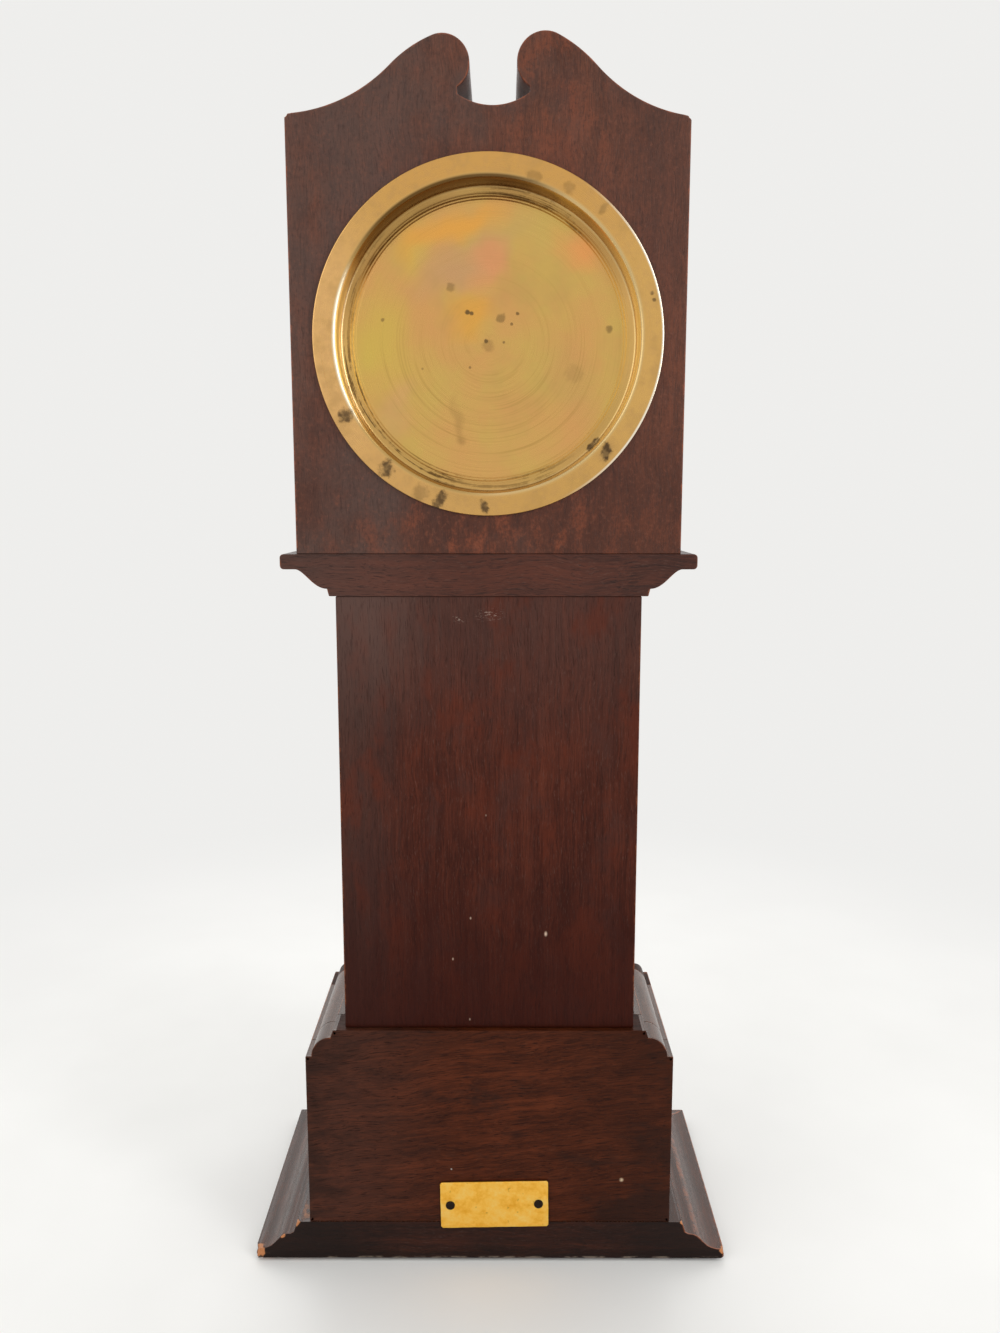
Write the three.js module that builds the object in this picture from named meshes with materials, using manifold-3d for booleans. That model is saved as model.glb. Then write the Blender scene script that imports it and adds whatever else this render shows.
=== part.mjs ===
// A miniature longcase clock: a moulded mahogany case with a round, spring-driven lever movement
// in its hood. Millimetres, +Z up, the dial faces -Y, the origin is on the table under the middle.
import * as THREE from 'three';
import { mergeVertices } from 'three/addons/utils/BufferGeometryUtils.js';
import Module from 'manifold-3d';

const wasm = await Module();
wasm.setup();

// Clearances
const glueLine = 0.05; // between pieces that are fixed face to face
const pushGap = 0.3; // radial, between a push fit and its bore
const runningGap = 0.06; // radial, between a turning piece and its bearing
const endShake = 0.2; // along an arbor, between its shoulder and a plate
const dialHoleGap = 0.4; // radial, round what passes through the dial
const escapeGap = 0.7; // between the escape wheel's teeth and the pallets
const rollerGap = 0.6; // between the lever's fork and the roller
const clickGap = 0.35; // between the click and the ratchet teeth
const throughCut = 1; // how far a cutting tool runs past the face it cuts
const weldDistance = 1e-4; // vertices closer than this are one

// Case heights, from the table up
const footHeight = 1.3;
const plinthHeight = 13.8;
const baseWallHeight = 61.4;
const trunkHeight = 146.9;
const corniceHeight = 13.4;

// Hood round the rear cover: margins between the cover's flange and the hood's edges
const hoodDepth = 64;
const hoodCheek = 6.9;
const hoodFootMargin = 12.1;
const hoodHeadMargin = 9.7;

// How far each stage of the case stands out past the one that it carries or hangs from
const corniceOverhang = 5.4; // the cornice's edge past the hood
const trunkMargin = 2.05; // the cornice's underside past the trunk
const baseShelf = 4.05; // the base's flat top past the trunk
const plinthShelf = 4.55; // the plinth's flat top past the sides of the base
const plinthFrontShelf = 5.7; // and past the front of the base

// How far each back face lies in from the plinth's back face
const baseBackInset = 0.15;
const trunkBackInset = 2.2;
const corniceBackInset = 1.9;
const hoodBackInset = 2;

// Boards
const baseBoard = 12;
const baseTopBoard = 8;
const trunkBoard = 6;

// Plinth moulding, from its lower outer edge: a square edge, an ogee and a leaning quirk
const plinthEdgeHeight = 3.3;
const plinthOgeeWidth = 12.4;
const plinthOgeeHeight = 5.9;
const plinthQuirkStep = 1.2;
const plinthQuirkRise = 0.7;
const plinthQuirkLean = 1.2;
const plinthOgeePull = [0.69, 0.56];

// Base moulding, from the top of the base wall: a ledge, an ovolo and a leaning quirk
const baseLedge = 2.05;
const baseOvoloWidth = 6.6;
const baseOvoloHeight = 6.8;
const baseQuirkLean = 0.85;
const baseQuirkRise = 2.6;

// Cornice moulding, from its upper outer edge: a square edge, a soffit, an ogee and a leaning quirk
const corniceEdgeHeight = 4.8;
const corniceEdgeRound = 1.2;
const corniceSoffit = 4.6;
const corniceOgeeWidth = 10.2;
const corniceOgeeHeight = 6.2;
const corniceQuirkLean = 0.6;
const corniceOgeePull = [0.3, 0.55];

// Swan-neck pediment, above the hood's shoulders: its halves were sawn by hand and differ
const scrollX = { right: 13.6, left: 17.15 };
const scrollHeight = { right: 15.6, left: 15.95 };
const scrollRadius = { right: 8.2, left: 8.5 };
const flankRadius = { right: 38.6, left: 42.95 }; // of the long curve outside each scroll
const flankAngle = { right: 68.5, left: 63.1 }; // where that curve runs into the scroll
const swanX = { right: 63.4, left: 66.55 }; // centre of the hollow curve up from the shoulder
const swanHeight = { right: 50.65, left: 47.15 };
const scrollEndAngle = 237;
const notchX = -1.4;
const notchBottom = 3.7;
const notchRadius = 19;

// Feet
const footRadius = 5;
const footFromSide = 14.35;
const footFromEnd = 9;

// Plate at the foot and its pins
const plateWidth = 37.4;
const plateHeight = 17.2;
const plateThickness = 0.6;
const plateCornerCut = 0.8;
const plateCentreX = -1.7;
const plateCentreHeight = 22.1;
const pinSpacing = 30.5;
const pinHeadRadius = 1.6;
const pinHeadHeight = 0.55;
const pinHeadTopRadius = 1.1;
const pinShankRadius = 0.6;
const pinLength = 6;

// Rear cover, a spun cup with a flange
const coverFlangeWidth = 6.8;
const coverFlangeThickness = 1.2;
const coverSheet = 0.8;
const coverCupRadius = 47.3;
const coverLipRound = 1;
const coverCupDepth = 8;
const coverGrooveWidth = 3.4;
const coverGrooveDepth = 0.9;

// Bezel seat, a ring with a spigot in the bore
const seatFlangeWidth = 4.7; // outside the spigot
const seatLipWidth = 2.8; // inside the spigot
const seatThickness = 1.5;
const seatSpigotWall = 1;
const seatSpigotDepth = 8;
const seatScrewHeadRadius = 1.7;
const seatScrewHeadDepth = 1.1;
const seatScrewShankRadius = 0.8;
const seatScrewLength = 7;

// Bezel, glass and hinge
const bezelDepth = 7;
const bezelWall = 4.8;
const bezelLipWidth = 3.7;
const bezelLipThickness = 1.2;
const bezelShoulder = 2.6;
const glassThickness = 1.5;
const glassRimWidth = 4;
const glassCrown = 4.4;
const hingeReach = 2.2;
const knuckleRadius = 1.5;
const knuckleHalfLength = 4;
const knuckleLength = 5;
const knuckleGap = 0.15;
const hingePinRadius = 0.7;
const hingePinEnd = 0.6;
const hingeLugInset = 2;

// Dial and hands
const dialThickness = 1;
const dialFootRadius = 1.2;
const dialFootCircle = 33;
const dialFootAngle = 20;
const dialFootEntry = 1.5;
const handThickness = 0.6;
const handLift = 1.1; // from the dial to the hour hand
const handSpacing = 0.8;
const hourHandLength = 26;
const minuteHandLength = 38;
const handHubWall = 1.7;
const handWaist = 0.9;
const handSpade = 2.6;
const handSpadeLength = 11; // from the stem to the point
const handSpadePoint = 7; // from the widest place to the point
const nutRadius = 2.2;
const nutHeight = 1.4;
const restHour = 10;
const restMinute = 9;

// Plates and pillars
const plateMargin = 5.6;
const plateStock = 2;
const plateSpacing = 20;
const motionSpace = 8.5;
const pillarRadius = 2.5;
const pillarEdge = 4.5;
const pillarAngles = { one: 20, two: 145, three: 225, four: 315 };
const screwShankRadius = 1;
const screwHeadRadius = 2;
const screwHeadHeight = 1.4;
const pillarScrewEntry = 4;

// Toothed wheels: shares of the module
const wheelTooth = { addendum: 1.05, dedendum: 1.3, rootHalf: 0.95, tipHalf: 0.4 };
const pinionLeaf = { addendum: 0.7, dedendum: 1.45, rootHalf: 0.55, tipHalf: 0.42 };
const pinionOverhang = 0.7; // how far a pinion runs past its wheel on each side
const sawRake = 0.15; // of a pitch, the lean of a saw tooth's steep flank

// Train: teeth, modules, bearings between arbors and levels behind the front plate
const barrelTeeth = 60;
const centrePinionLeaves = 10;
const barrelModule = 0.6;
const barrelBearing = -90;
const centreTeeth = 64;
const thirdLeaves = 8;
const centreModule = 0.55;
const thirdBearing = 60;
const thirdTeeth = 60;
const fourthLeaves = 8;
const thirdModule = 0.5;
const fourthBearing = 165;
const fourthTeeth = 64;
const escapeLeaves = 8;
const fourthModule = 0.45;
const escapeBearing = 215;
const wheelThickness = 1.2;
const barrelLevel = 2;
const centreLevel = 15.5;
const thirdLevel = 12;
const fourthLevel = 8;
const escapeLevel = 17.8;
const arborRadius = 0.9;
const centreArborRadius = 1.4;
const centrePostRadius = 1.1;
const pivotRadius = 0.6;
const pivotEntry = 1.5;

// Barrel, mainspring and winding work
const greatWheelThickness = 2;
const drumRadius = 15;
const drumWall = 1;
const drumDepth = 9;
const barrelCoverThickness = 1;
const barrelArborRadius = 2;
const barrelPivotRadius = 1.5;
const windingSquare = 2;
const windingCollar = 0.8; // how far the round arbor runs out in front of the front plate
const mainspringInner = 4.4;
const mainspringTurns = 6;
const mainspringStrip = 0.5;
const mainspringSideGap = 0.3;
const ratchetTeeth = 24;
const ratchetRadius = 7;
const ratchetToothDepth = 1;
const ratchetThickness = 1.5;
const ratchetLift = 0.3;
const clickDistance = 11;
const clickBearing = 25;
const clickHalfWidth = 0.8;
const clickBossRadius = 1.9;
const clickPostRadius = 0.9;

// Escapement
const escapeTeeth = 15;
const escapeRadius = 6;
const escapeToothDepth = 1.4;
const escapeThickness = 0.8;
const palletDistance = 9;
const palletBearing = 220;
const palletSpread = 32;
const palletHalfWidth = 0.6;
const leverBossRadius = 1.4;
const leverThickness = 1;
const balanceDistance = 10.2;
const balanceBearing = 268;
const balanceRadius = 10;
const balanceRimWidth = 1.1;
const balanceRimThickness = 1.4;
const balanceArmWidth = 1.8;
const balanceLift = 3; // from the back plate to the balance rim
const rollerRadius = 1.8;
const rollerHoleGap = 0.4;
const colletRadius = 1.4;
const hairspringLift = 0.8; // from the balance rim to the hairspring
const hairspringHeight = 0.8;
const hairspringOuter = 6.4;
const hairspringStrip = 0.25;
const hairspringTurns = 4;
const hairspringColletGap = 0.25;
const cockLift = 7; // from the back plate to the cock's bridge
const cockThickness = 1.6;
const cockBossRadius = 2.5;
const cockFootRadius = 3;
const cockFootDistance = 14;
const cockFootBearing = 260;

// Motion work behind the dial
const cannonLeaves = 12;
const minuteWheelTeeth = 36;
const motionModule = 0.5;
const minuteWheelBearing = 0;
const minutePinionLeaves = 10;
const hourWheelTeeth = 40;
const motionWheelThickness = 1;
const motionLevel = 1.2; // from the front plate to the minute wheel
const hourWheelLift = 1.6; // from the minute wheel to the hour wheel
const studRadius = 0.9;
const cannonPipeRadius = 1.9;
const hourPipeWall = 0.85;
const minuteSeatRadius = 1.5;

// How finely curves are divided
const fineSegments = 40;
const roundSegments = 16;
const pivotSegments = 8;
const curveSteps = 8;
const domeSteps = 4;
const lipSteps = 3;
const spiralStepsPerTurn = 14;

// Levels and planes that follow
const plinthFoot = footHeight;
const baseFoot = plinthFoot + plinthHeight;
const baseMouldHeight = baseOvoloHeight + baseQuirkRise;
const baseMouldWidth = baseLedge + baseOvoloWidth + baseQuirkLean;
const plinthMouldWidth = plinthOgeeWidth + plinthQuirkStep + plinthQuirkLean;
const corniceMouldWidth = corniceSoffit + corniceOgeeWidth + corniceQuirkLean;
const coverFlangeRadius = coverCupRadius + coverFlangeWidth;
const hoodShoulderHeight = hoodFootMargin + 2 * coverFlangeRadius + hoodHeadMargin;
const baseTop = baseFoot + baseWallHeight + baseMouldHeight;
const corniceFoot = baseTop + trunkHeight;
const hoodFoot = corniceFoot + corniceHeight;
const hoodShoulder = hoodFoot + hoodShoulderHeight;
const dialHeight = hoodFoot + hoodFootMargin + coverFlangeRadius;
const hoodWidth = 2 * (coverFlangeRadius + hoodCheek);
const corniceWidth = hoodWidth + 2 * corniceOverhang;
const trunkWidth = corniceWidth - 2 * (corniceMouldWidth + trunkMargin);
const baseWidth = trunkWidth + 2 * (baseShelf + baseMouldWidth);
const plinthWidth = baseWidth + 2 * (plinthShelf + plinthMouldWidth);
const corniceDepth = hoodBackInset + hoodDepth + corniceOverhang - corniceBackInset;
const trunkDepth = corniceBackInset + corniceDepth - corniceMouldWidth - trunkMargin - trunkBackInset;
const baseDepth = trunkBackInset + trunkDepth + baseShelf + baseMouldWidth - baseBackInset;
const plinthDepth = baseBackInset + baseDepth + plinthFrontShelf + plinthMouldWidth;
const wholeDepth = plinthDepth + plateThickness + pinHeadHeight + 2 * glueLine;
const plinthBack = plinthDepth - wholeDepth / 2;
const baseBack = plinthBack - baseBackInset;
const trunkBack = plinthBack - trunkBackInset;
const corniceBack = plinthBack - corniceBackInset;
const hoodBack = plinthBack - hoodBackInset;
const hoodFront = hoodBack - hoodDepth;
const hoodBore = coverCupRadius + pushGap;
const seatRadius = coverCupRadius + seatFlangeWidth;

const degrees = Math.PI / 180;

// Solids: closing, joining and cutting
function closed(geometry) {
  geometry.deleteAttribute('normal');
  geometry.deleteAttribute('uv');
  const merged = mergeVertices(geometry, weldDistance);
  const source = merged.index.array;
  const triangles = [];
  for (let i = 0; i < source.length; i += 3) {
    const [a, b, c] = source.slice(i, i + 3);
    if (a !== b && b !== c && c !== a) triangles.push(a, b, c);
  }
  merged.setIndex(triangles);
  return signedVolume(merged) < 0 ? turnedInsideOut(merged) : merged;
}

function signedVolume(geometry) {
  const position = geometry.attributes.position;
  const index = geometry.index.array;
  const corner = [new THREE.Vector3(), new THREE.Vector3(), new THREE.Vector3()];
  let total = 0;
  for (let i = 0; i < index.length; i += 3) {
    corner.forEach((point, k) => point.fromBufferAttribute(position, index[i + k]));
    total += corner[0].dot(corner[1].clone().cross(corner[2])) / 6;
  }
  return total;
}

function turnedInsideOut(geometry) {
  const index = geometry.index.array;
  for (let i = 0; i < index.length; i += 3) {
    [index[i], index[i + 1]] = [index[i + 1], index[i]];
  }
  return geometry;
}

function toManifold(geometry) {
  const ready = closed(geometry);
  const vertProperties = Float32Array.from(ready.attributes.position.array);
  const triVerts = Uint32Array.from(ready.index.array);
  return new wasm.Manifold(new wasm.Mesh({ numProp: 3, vertProperties, triVerts }));
}

function toGeometry(manifold) {
  const mesh = manifold.getMesh();
  const geometry = new THREE.BufferGeometry();
  geometry.setAttribute('position', new THREE.BufferAttribute(mesh.vertProperties, 3));
  geometry.setIndex(new THREE.BufferAttribute(mesh.triVerts, 1));
  return geometry;
}

function join(...pieces) {
  return toGeometry(pieces.map(toManifold).reduce((whole, piece) => whole.add(piece)));
}

function cut(body, ...tools) {
  return toGeometry(tools.map(toManifold).reduce((rest, tool) => rest.subtract(tool), toManifold(body)));
}

function common(first, second) {
  return toGeometry(toManifold(first).intersect(toManifold(second)));
}

// Simple shapes, each placed where it belongs
function block(x0, x1, y0, y1, z0, z1) {
  const geometry = new THREE.BoxGeometry(x1 - x0, y1 - y0, z1 - z0);
  return geometry.translate((x0 + x1) / 2, (y0 + y1) / 2, (z0 + z1) / 2);
}

function extruded(shape, depth) {
  return new THREE.ExtrudeGeometry(shape, { depth, bevelEnabled: false, steps: 1 });
}

// A shape drawn in X and Z, pushed along Y from y0 to y1
function alongY(shape, y0, y1) {
  const turn = new THREE.Matrix4().makeBasis(
    new THREE.Vector3(1, 0, 0), new THREE.Vector3(0, 0, 1), new THREE.Vector3(0, -1, 0));
  return extruded(shape, y1 - y0).applyMatrix4(turn).translate(0, y1, 0);
}

// A shape drawn in Y and Z, pushed along X from x0 to x1
function alongX(shape, x0, x1) {
  const turn = new THREE.Matrix4().makeBasis(
    new THREE.Vector3(0, 1, 0), new THREE.Vector3(0, 0, 1), new THREE.Vector3(1, 0, 0));
  return extruded(shape, x1 - x0).applyMatrix4(turn).translate(x0, 0, 0);
}

function polygon(points) {
  return new THREE.Shape(points.map(([a, b]) => new THREE.Vector2(a, b)));
}

// A profile of [radius, y] pairs turned about Y
function turned(profile, segments = roundSegments) {
  const points = profile.map(([radius, y]) => new THREE.Vector2(radius, y));
  const onAxis = profile[0][0] === 0 && profile.at(-1)[0] === 0;
  if (!onAxis) points.push(points[0].clone());
  return new THREE.LatheGeometry(points, segments);
}

// A round bar along Y at x, z
function rod(radius, y0, y1, x = 0, z = 0, segments = roundSegments) {
  const profile = [[0, y0], [radius, y0], [radius, y1], [0, y1]];
  return turned(profile, segments).translate(x, 0, z);
}

function ring(inner, outer, y0, y1, segments = roundSegments) {
  return turned([[inner, y0], [outer, y0], [outer, y1], [inner, y1]], segments);
}

// A flat bar between two points in X and Z
function bar(from, to, halfWidth, y0, y1) {
  const [dx, dz] = [to[0] - from[0], to[1] - from[1]];
  const length = Math.hypot(dx, dz);
  const side = [-dz / length * halfWidth, dx / length * halfWidth];
  const outline = polygon([
    [from[0] + side[0], from[1] + side[1]],
    [from[0] - side[0], from[1] - side[1]],
    [to[0] - side[0], to[1] - side[1]],
    [to[0] + side[0], to[1] + side[1]],
  ]);
  return alongY(outline, y0, y1);
}

function away(from, distance, bearing) {
  return [
    from[0] + distance * Math.cos(bearing * degrees),
    from[1] + distance * Math.sin(bearing * degrees),
  ];
}

function arcPoints(centre, radius, start, end, steps) {
  const points = [];
  for (let i = 0; i <= steps; i += 1) {
    points.push(away(centre, radius, start + (end - start) * i / steps));
  }
  return points;
}

// An S-curve that leaves and arrives level, drawn out by the two pulls
function ogee(from, to, pulls) {
  const width = to[0] - from[0];
  const curve = new THREE.CubicBezierCurve(
    new THREE.Vector2(...from),
    new THREE.Vector2(from[0] + width * pulls[0], from[1]),
    new THREE.Vector2(from[0] + width * pulls[1], to[1]),
    new THREE.Vector2(...to),
  );
  return curve.getPoints(curveSteps).map((point) => [point.x, point.y]);
}

// A board whose edge profile, [inward, height] pairs from its foot up, runs round both ends and the
// front; the back is cut off square. The corners come out mitred.
function mouldedBoard(width, depth, back, foot, profile) {
  const half = width / 2;
  const front = back - depth;
  const right = profile.map(([inward, height]) => [half - inward, foot + height]);
  const left = right.map(([x, z]) => [-x, z]).reverse();
  const ends = alongY(polygon([...right, ...left]), front - throughCut, back + throughCut);
  const nose = profile.map(([inward, height]) => [front + inward, foot + height]).reverse();
  const top = profile.at(-1)[1];
  const section = [...nose, [back, foot], [back, foot + top]];
  return common(ends, alongX(polygon(section), -half - throughCut, half + throughCut));
}

// Scene graph
const clock = new THREE.Group();
const movement = new THREE.Group();
movement.position.set(0, hoodFront + dialThickness + motionSpace + plateStock, dialHeight);
clock.add(movement);

const finishes = {
  mahogany: { color: 0x54281b, roughness: 0.4, metalness: 0 },
  redMahogany: { color: 0x64301f, roughness: 0.4, metalness: 0 },
  darkMahogany: { color: 0x3c1d16, roughness: 0.4, metalness: 0 },
  brass: { color: 0xb99a5a, roughness: 0.32, metalness: 1 },
  brightBrass: { color: 0xcda54c, roughness: 0.4, metalness: 1 },
  steel: { color: 0x8b8d90, roughness: 0.35, metalness: 1 },
  blued: { color: 0x1d2433, roughness: 0.35, metalness: 1 },
  darkPin: { color: 0x1b1512, roughness: 0.6, metalness: 0.6 },
  enamel: { color: 0xece6d4, roughness: 0.45, metalness: 0 },
  glass: { color: 0xdfe8ea, roughness: 0.05, metalness: 0, transparent: true, opacity: 0.3 },
};

function add(name, geometry, finish, parent = clock) {
  const mesh = new THREE.Mesh(closed(geometry), new THREE.MeshStandardMaterial(finishes[finish]));
  mesh.name = name;
  parent.add(mesh);
  return mesh;
}

// Plinth and feet
function plinthProfile() {
  const ogeeTop = plinthEdgeHeight + plinthOgeeHeight;
  const quirkFoot = plinthOgeeWidth + plinthQuirkStep;
  return [
    [0, 0],
    ...ogee([0, plinthEdgeHeight], [plinthOgeeWidth, ogeeTop], plinthOgeePull),
    [quirkFoot, ogeeTop + plinthQuirkRise],
    [plinthMouldWidth, plinthHeight],
  ];
}

add('plinth_board', mouldedBoard(plinthWidth, plinthDepth, plinthBack, plinthFoot, plinthProfile()),
  'darkMahogany');

const footX = plinthWidth / 2 - footFromSide;
const footPlaces = {
  foot_front_left: [-footX, plinthBack - plinthDepth + footFromEnd],
  foot_front_right: [footX, plinthBack - plinthDepth + footFromEnd],
  foot_back_left: [-footX, plinthBack - footFromEnd],
  foot_back_right: [footX, plinthBack - footFromEnd],
};
for (const [name, [x, y]] of Object.entries(footPlaces)) {
  const disc = new THREE.CylinderGeometry(footRadius, footRadius, footHeight - glueLine, roundSegments);
  const foot = add(name, disc.rotateX(Math.PI / 2), 'darkPin');
  foot.position.set(x, y, (footHeight - glueLine) / 2);
}

// Base: five boards cut from one moulded outline
function baseProfile() {
  const ovolo = arcPoints([0, 0], 1, 180, 90, curveSteps).map(([a, b]) => [
    baseLedge + baseOvoloWidth * (1 + a),
    baseWallHeight + baseOvoloHeight * b,
  ]);
  const top = baseWallHeight + baseMouldHeight;
  return [
    [0, glueLine],
    [0, baseWallHeight],
    ...ovolo,
    [baseMouldWidth, top],
  ];
}

const baseFront = baseBack - baseDepth;
const baseHalf = baseWidth / 2;
const baseRoom = {
  side: baseHalf - baseBoard,
  front: baseFront + baseBoard,
  back: baseBack - baseBoard,
};

function basePiece(x0, x1, y0, y1) {
  const whole = mouldedBoard(baseWidth, baseDepth, baseBack, baseFoot, baseProfile());
  return common(whole, block(x0, x1, y0, y1, baseFoot - throughCut, baseTop + throughCut));
}

add('base_front_board',
  basePiece(-baseWidth, baseWidth, baseFront - throughCut, baseRoom.front), 'redMahogany');
add('base_back_board',
  basePiece(-baseWidth, baseWidth, baseRoom.back, baseBack + throughCut), 'redMahogany');
for (const [name, side] of [['base_left_side', -1], ['base_right_side', 1]]) {
  const [inner, outer] = [side * baseRoom.side, side * (baseHalf + throughCut)];
  const board = basePiece(Math.min(inner, outer), Math.max(inner, outer),
    baseRoom.front + glueLine, baseRoom.back - glueLine);
  add(name, board, 'redMahogany');
}
add('base_top_board', block(
  glueLine - baseRoom.side, baseRoom.side - glueLine,
  baseRoom.front + glueLine, baseRoom.back - glueLine,
  baseTop - baseTopBoard, baseTop), 'redMahogany');

// Trunk: four boards
const trunkFront = trunkBack - trunkDepth;
const trunkHalf = trunkWidth / 2;
const trunkRoom = { front: trunkFront + trunkBoard, back: trunkBack - trunkBoard };
const trunkFoot = baseTop + glueLine;
add('trunk_back_board',
  block(-trunkHalf, trunkHalf, trunkRoom.back, trunkBack, trunkFoot, corniceFoot), 'mahogany');
add('trunk_front_board',
  block(-trunkHalf, trunkHalf, trunkFront, trunkRoom.front, trunkFoot, corniceFoot), 'mahogany');
for (const [name, x0] of [['trunk_left_side', -trunkHalf], ['trunk_right_side', trunkHalf - trunkBoard]]) {
  add(name, block(x0, x0 + trunkBoard, trunkRoom.front + glueLine, trunkRoom.back - glueLine,
    trunkFoot, corniceFoot), 'mahogany');
}

// Cornice
function corniceProfile() {
  const edgeFoot = corniceHeight - corniceEdgeHeight;
  const quirkTop = edgeFoot - corniceOgeeHeight;
  const inner = corniceSoffit + corniceOgeeWidth;
  const curve = ogee([corniceSoffit, edgeFoot], [inner, quirkTop], corniceOgeePull).reverse();
  const round = corniceEdgeRound;
  return [
    [corniceMouldWidth, glueLine],
    ...curve,
    ...arcPoints([round, edgeFoot + round], round, 270, 180, lipSteps),
    ...arcPoints([round, corniceHeight - round], round, 180, 90, lipSteps),
  ];
}

add('cornice_board',
  mouldedBoard(corniceWidth, corniceDepth, corniceBack, corniceFoot, corniceProfile()), 'darkMahogany');

// Half of the pediment, from the hood's side up the hollow swan neck, over the flank and round the scroll
function pedimentHalf(side) {
  const scroll = [scrollX[side], hoodShoulder + scrollHeight[side]];
  const swan = [swanX[side], hoodShoulder + swanHeight[side]];
  const angle = flankAngle[side] * degrees;
  const inset = scrollRadius[side] - flankRadius[side];
  const flank = [scroll[0] + inset * Math.cos(angle), scroll[1] + inset * Math.sin(angle)];
  const between = [swan[0] - flank[0], swan[1] - flank[1]];
  const swanRadius = Math.hypot(...between) - flankRadius[side];
  const meet = Math.atan2(between[1], between[0]) / degrees;
  const start = 360 - Math.acos((hoodWidth / 2 - swan[0]) / swanRadius) / degrees;
  return [
    ...arcPoints(swan, swanRadius, start, meet + 180, curveSteps),
    ...arcPoints(flank, flankRadius[side], meet, flankAngle[side], curveSteps / 2).slice(1, -1),
    ...arcPoints(scroll, scrollRadius[side], flankAngle[side], scrollEndAngle, curveSteps * 2),
  ];
}

// Hood: both halves of the pediment hook under their scrolls into one round notch
function hoodOutline() {
  const half = hoodWidth / 2;
  const right = pedimentHalf('right');
  const left = pedimentHalf('left').map(([x, z]) => [-x, z]).reverse();
  const notchAngle = ([x]) => 270 + Math.asin((x - notchX) / notchRadius) / degrees;
  const notchCentre = [notchX, hoodShoulder + notchBottom + notchRadius];
  return polygon([
    [half, hoodFoot + glueLine],
    ...right,
    ...arcPoints(notchCentre, notchRadius, notchAngle(right.at(-1)), notchAngle(left[0]), curveSteps),
    ...left,
    [-half, hoodFoot + glueLine],
  ]);
}

const seatScrewCircle = (seatRadius + hoodBore) / 2;
const seatScrewPlaces = { seat_screw_top: seatScrewCircle, seat_screw_bottom: -seatScrewCircle };
const pilotRadius = seatScrewShankRadius + runningGap;
const pilotTools = Object.values(seatScrewPlaces).map((z) => rod(
  pilotRadius, hoodFront - throughCut, hoodFront + seatScrewLength + throughCut, 0, dialHeight + z,
  pivotSegments));
add('hood_block', cut(
  alongY(hoodOutline(), hoodFront, hoodBack),
  rod(hoodBore, hoodFront - throughCut, hoodBack + throughCut, 0, dialHeight, fineSegments),
  ...pilotTools), 'mahogany');

// Rear cover, its profile taken round the sheet from the flange's outer edge
function coverProfile() {
  const seat = glueLine;
  const face = seat + coverFlangeThickness;
  const wall = coverCupRadius - coverSheet;
  const groove = face - coverCupDepth;
  const floor = groove + coverGrooveDepth;
  const floorEdge = wall - coverGrooveWidth;
  return [
    [coverFlangeRadius, seat],
    [coverFlangeRadius, face],
    ...arcPoints([wall + coverLipRound, face - coverLipRound], coverLipRound, 90, 180, lipSteps),
    [wall, groove],
    [floorEdge, groove],
    [floorEdge - coverGrooveDepth, floor],
    [0, floor],
    [0, floor - coverSheet],
    [floorEdge - coverGrooveDepth, floor - coverSheet],
    [floorEdge, groove - coverSheet],
    [coverCupRadius, groove - coverSheet],
    [coverCupRadius, seat],
  ];
}

function turnedOpen(profile, start, segments) {
  const order = [...profile.slice(start), ...profile.slice(0, start)];
  return turned(order, segments);
}

const coverPoints = coverProfile();
const coverAxisPoint = coverPoints.findIndex(([radius]) => radius === 0) + 1;
const cover = add('rear_cover', turnedOpen(coverPoints, coverAxisPoint, fineSegments), 'brass');
cover.position.set(0, hoodBack, dialHeight);

// Plate at the foot and its pins
const plateFoot = plateCentreHeight - plateHeight / 2;
const plateBackFace = plinthBack + glueLine;
const pinPlaces = {
  plate_pin_left: plateCentreX - pinSpacing / 2,
  plate_pin_right: plateCentreX + pinSpacing / 2,
};
const pinHole = pinShankRadius + runningGap;

function plateOutline() {
  const half = plateWidth / 2;
  const [c, h] = [plateCornerCut, plateHeight];
  return polygon([
    [c - half, 0], [half - c, 0], [half, c], [half, h - c],
    [half - c, h], [c - half, h], [-half, h - c], [-half, c],
  ]);
}

const plateBlank = alongY(plateOutline(), plateBackFace, plateBackFace + plateThickness)
  .translate(plateCentreX, 0, plateFoot);
const pinTools = Object.values(pinPlaces).map((x) => rod(
  pinHole, plinthBack - pinLength - throughCut, plateBackFace + plateThickness + throughCut,
  x, plateCentreHeight, pivotSegments));
add('name_plate', cut(plateBlank, ...pinTools), 'brightBrass');
const backBoard = clock.getObjectByName('base_back_board');
backBoard.geometry = cut(backBoard.geometry, ...pinTools);
const plateFace = plateBackFace + plateThickness;
const pinHeadFoot = plateFace + glueLine;
for (const [name, x] of Object.entries(pinPlaces)) {
  const pin = turned([
    [0, plinthBack - pinLength],
    [pinShankRadius, plinthBack - pinLength],
    [pinShankRadius, pinHeadFoot],
    [pinHeadRadius, pinHeadFoot],
    [pinHeadTopRadius, pinHeadFoot + pinHeadHeight],
    [0, pinHeadFoot + pinHeadHeight],
  ], pivotSegments);
  add(name, pin.translate(x, 0, plateCentreHeight), 'darkPin');
}

// Bezel seat: y is counted from the hood's front face, towards the back
const front = new THREE.Group();
front.position.set(0, hoodFront, dialHeight);
clock.add(front);

const seatBack = -glueLine;
const seatFace = seatBack - seatThickness;
const spigotInner = coverCupRadius - seatSpigotWall;
const seatInnerRadius = spigotInner - seatLipWidth;
const bezelBack = seatFace - glueLine;
const hingeX = seatRadius + hingeReach;
const hingeY = (seatFace + bezelBack) / 2;

function uprightRod(radius, z0, z1, segments = roundSegments) {
  const post = new THREE.CylinderGeometry(radius, radius, z1 - z0, segments);
  return post.rotateX(Math.PI / 2).translate(hingeX, hingeY, (z0 + z1) / 2);
}

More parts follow.
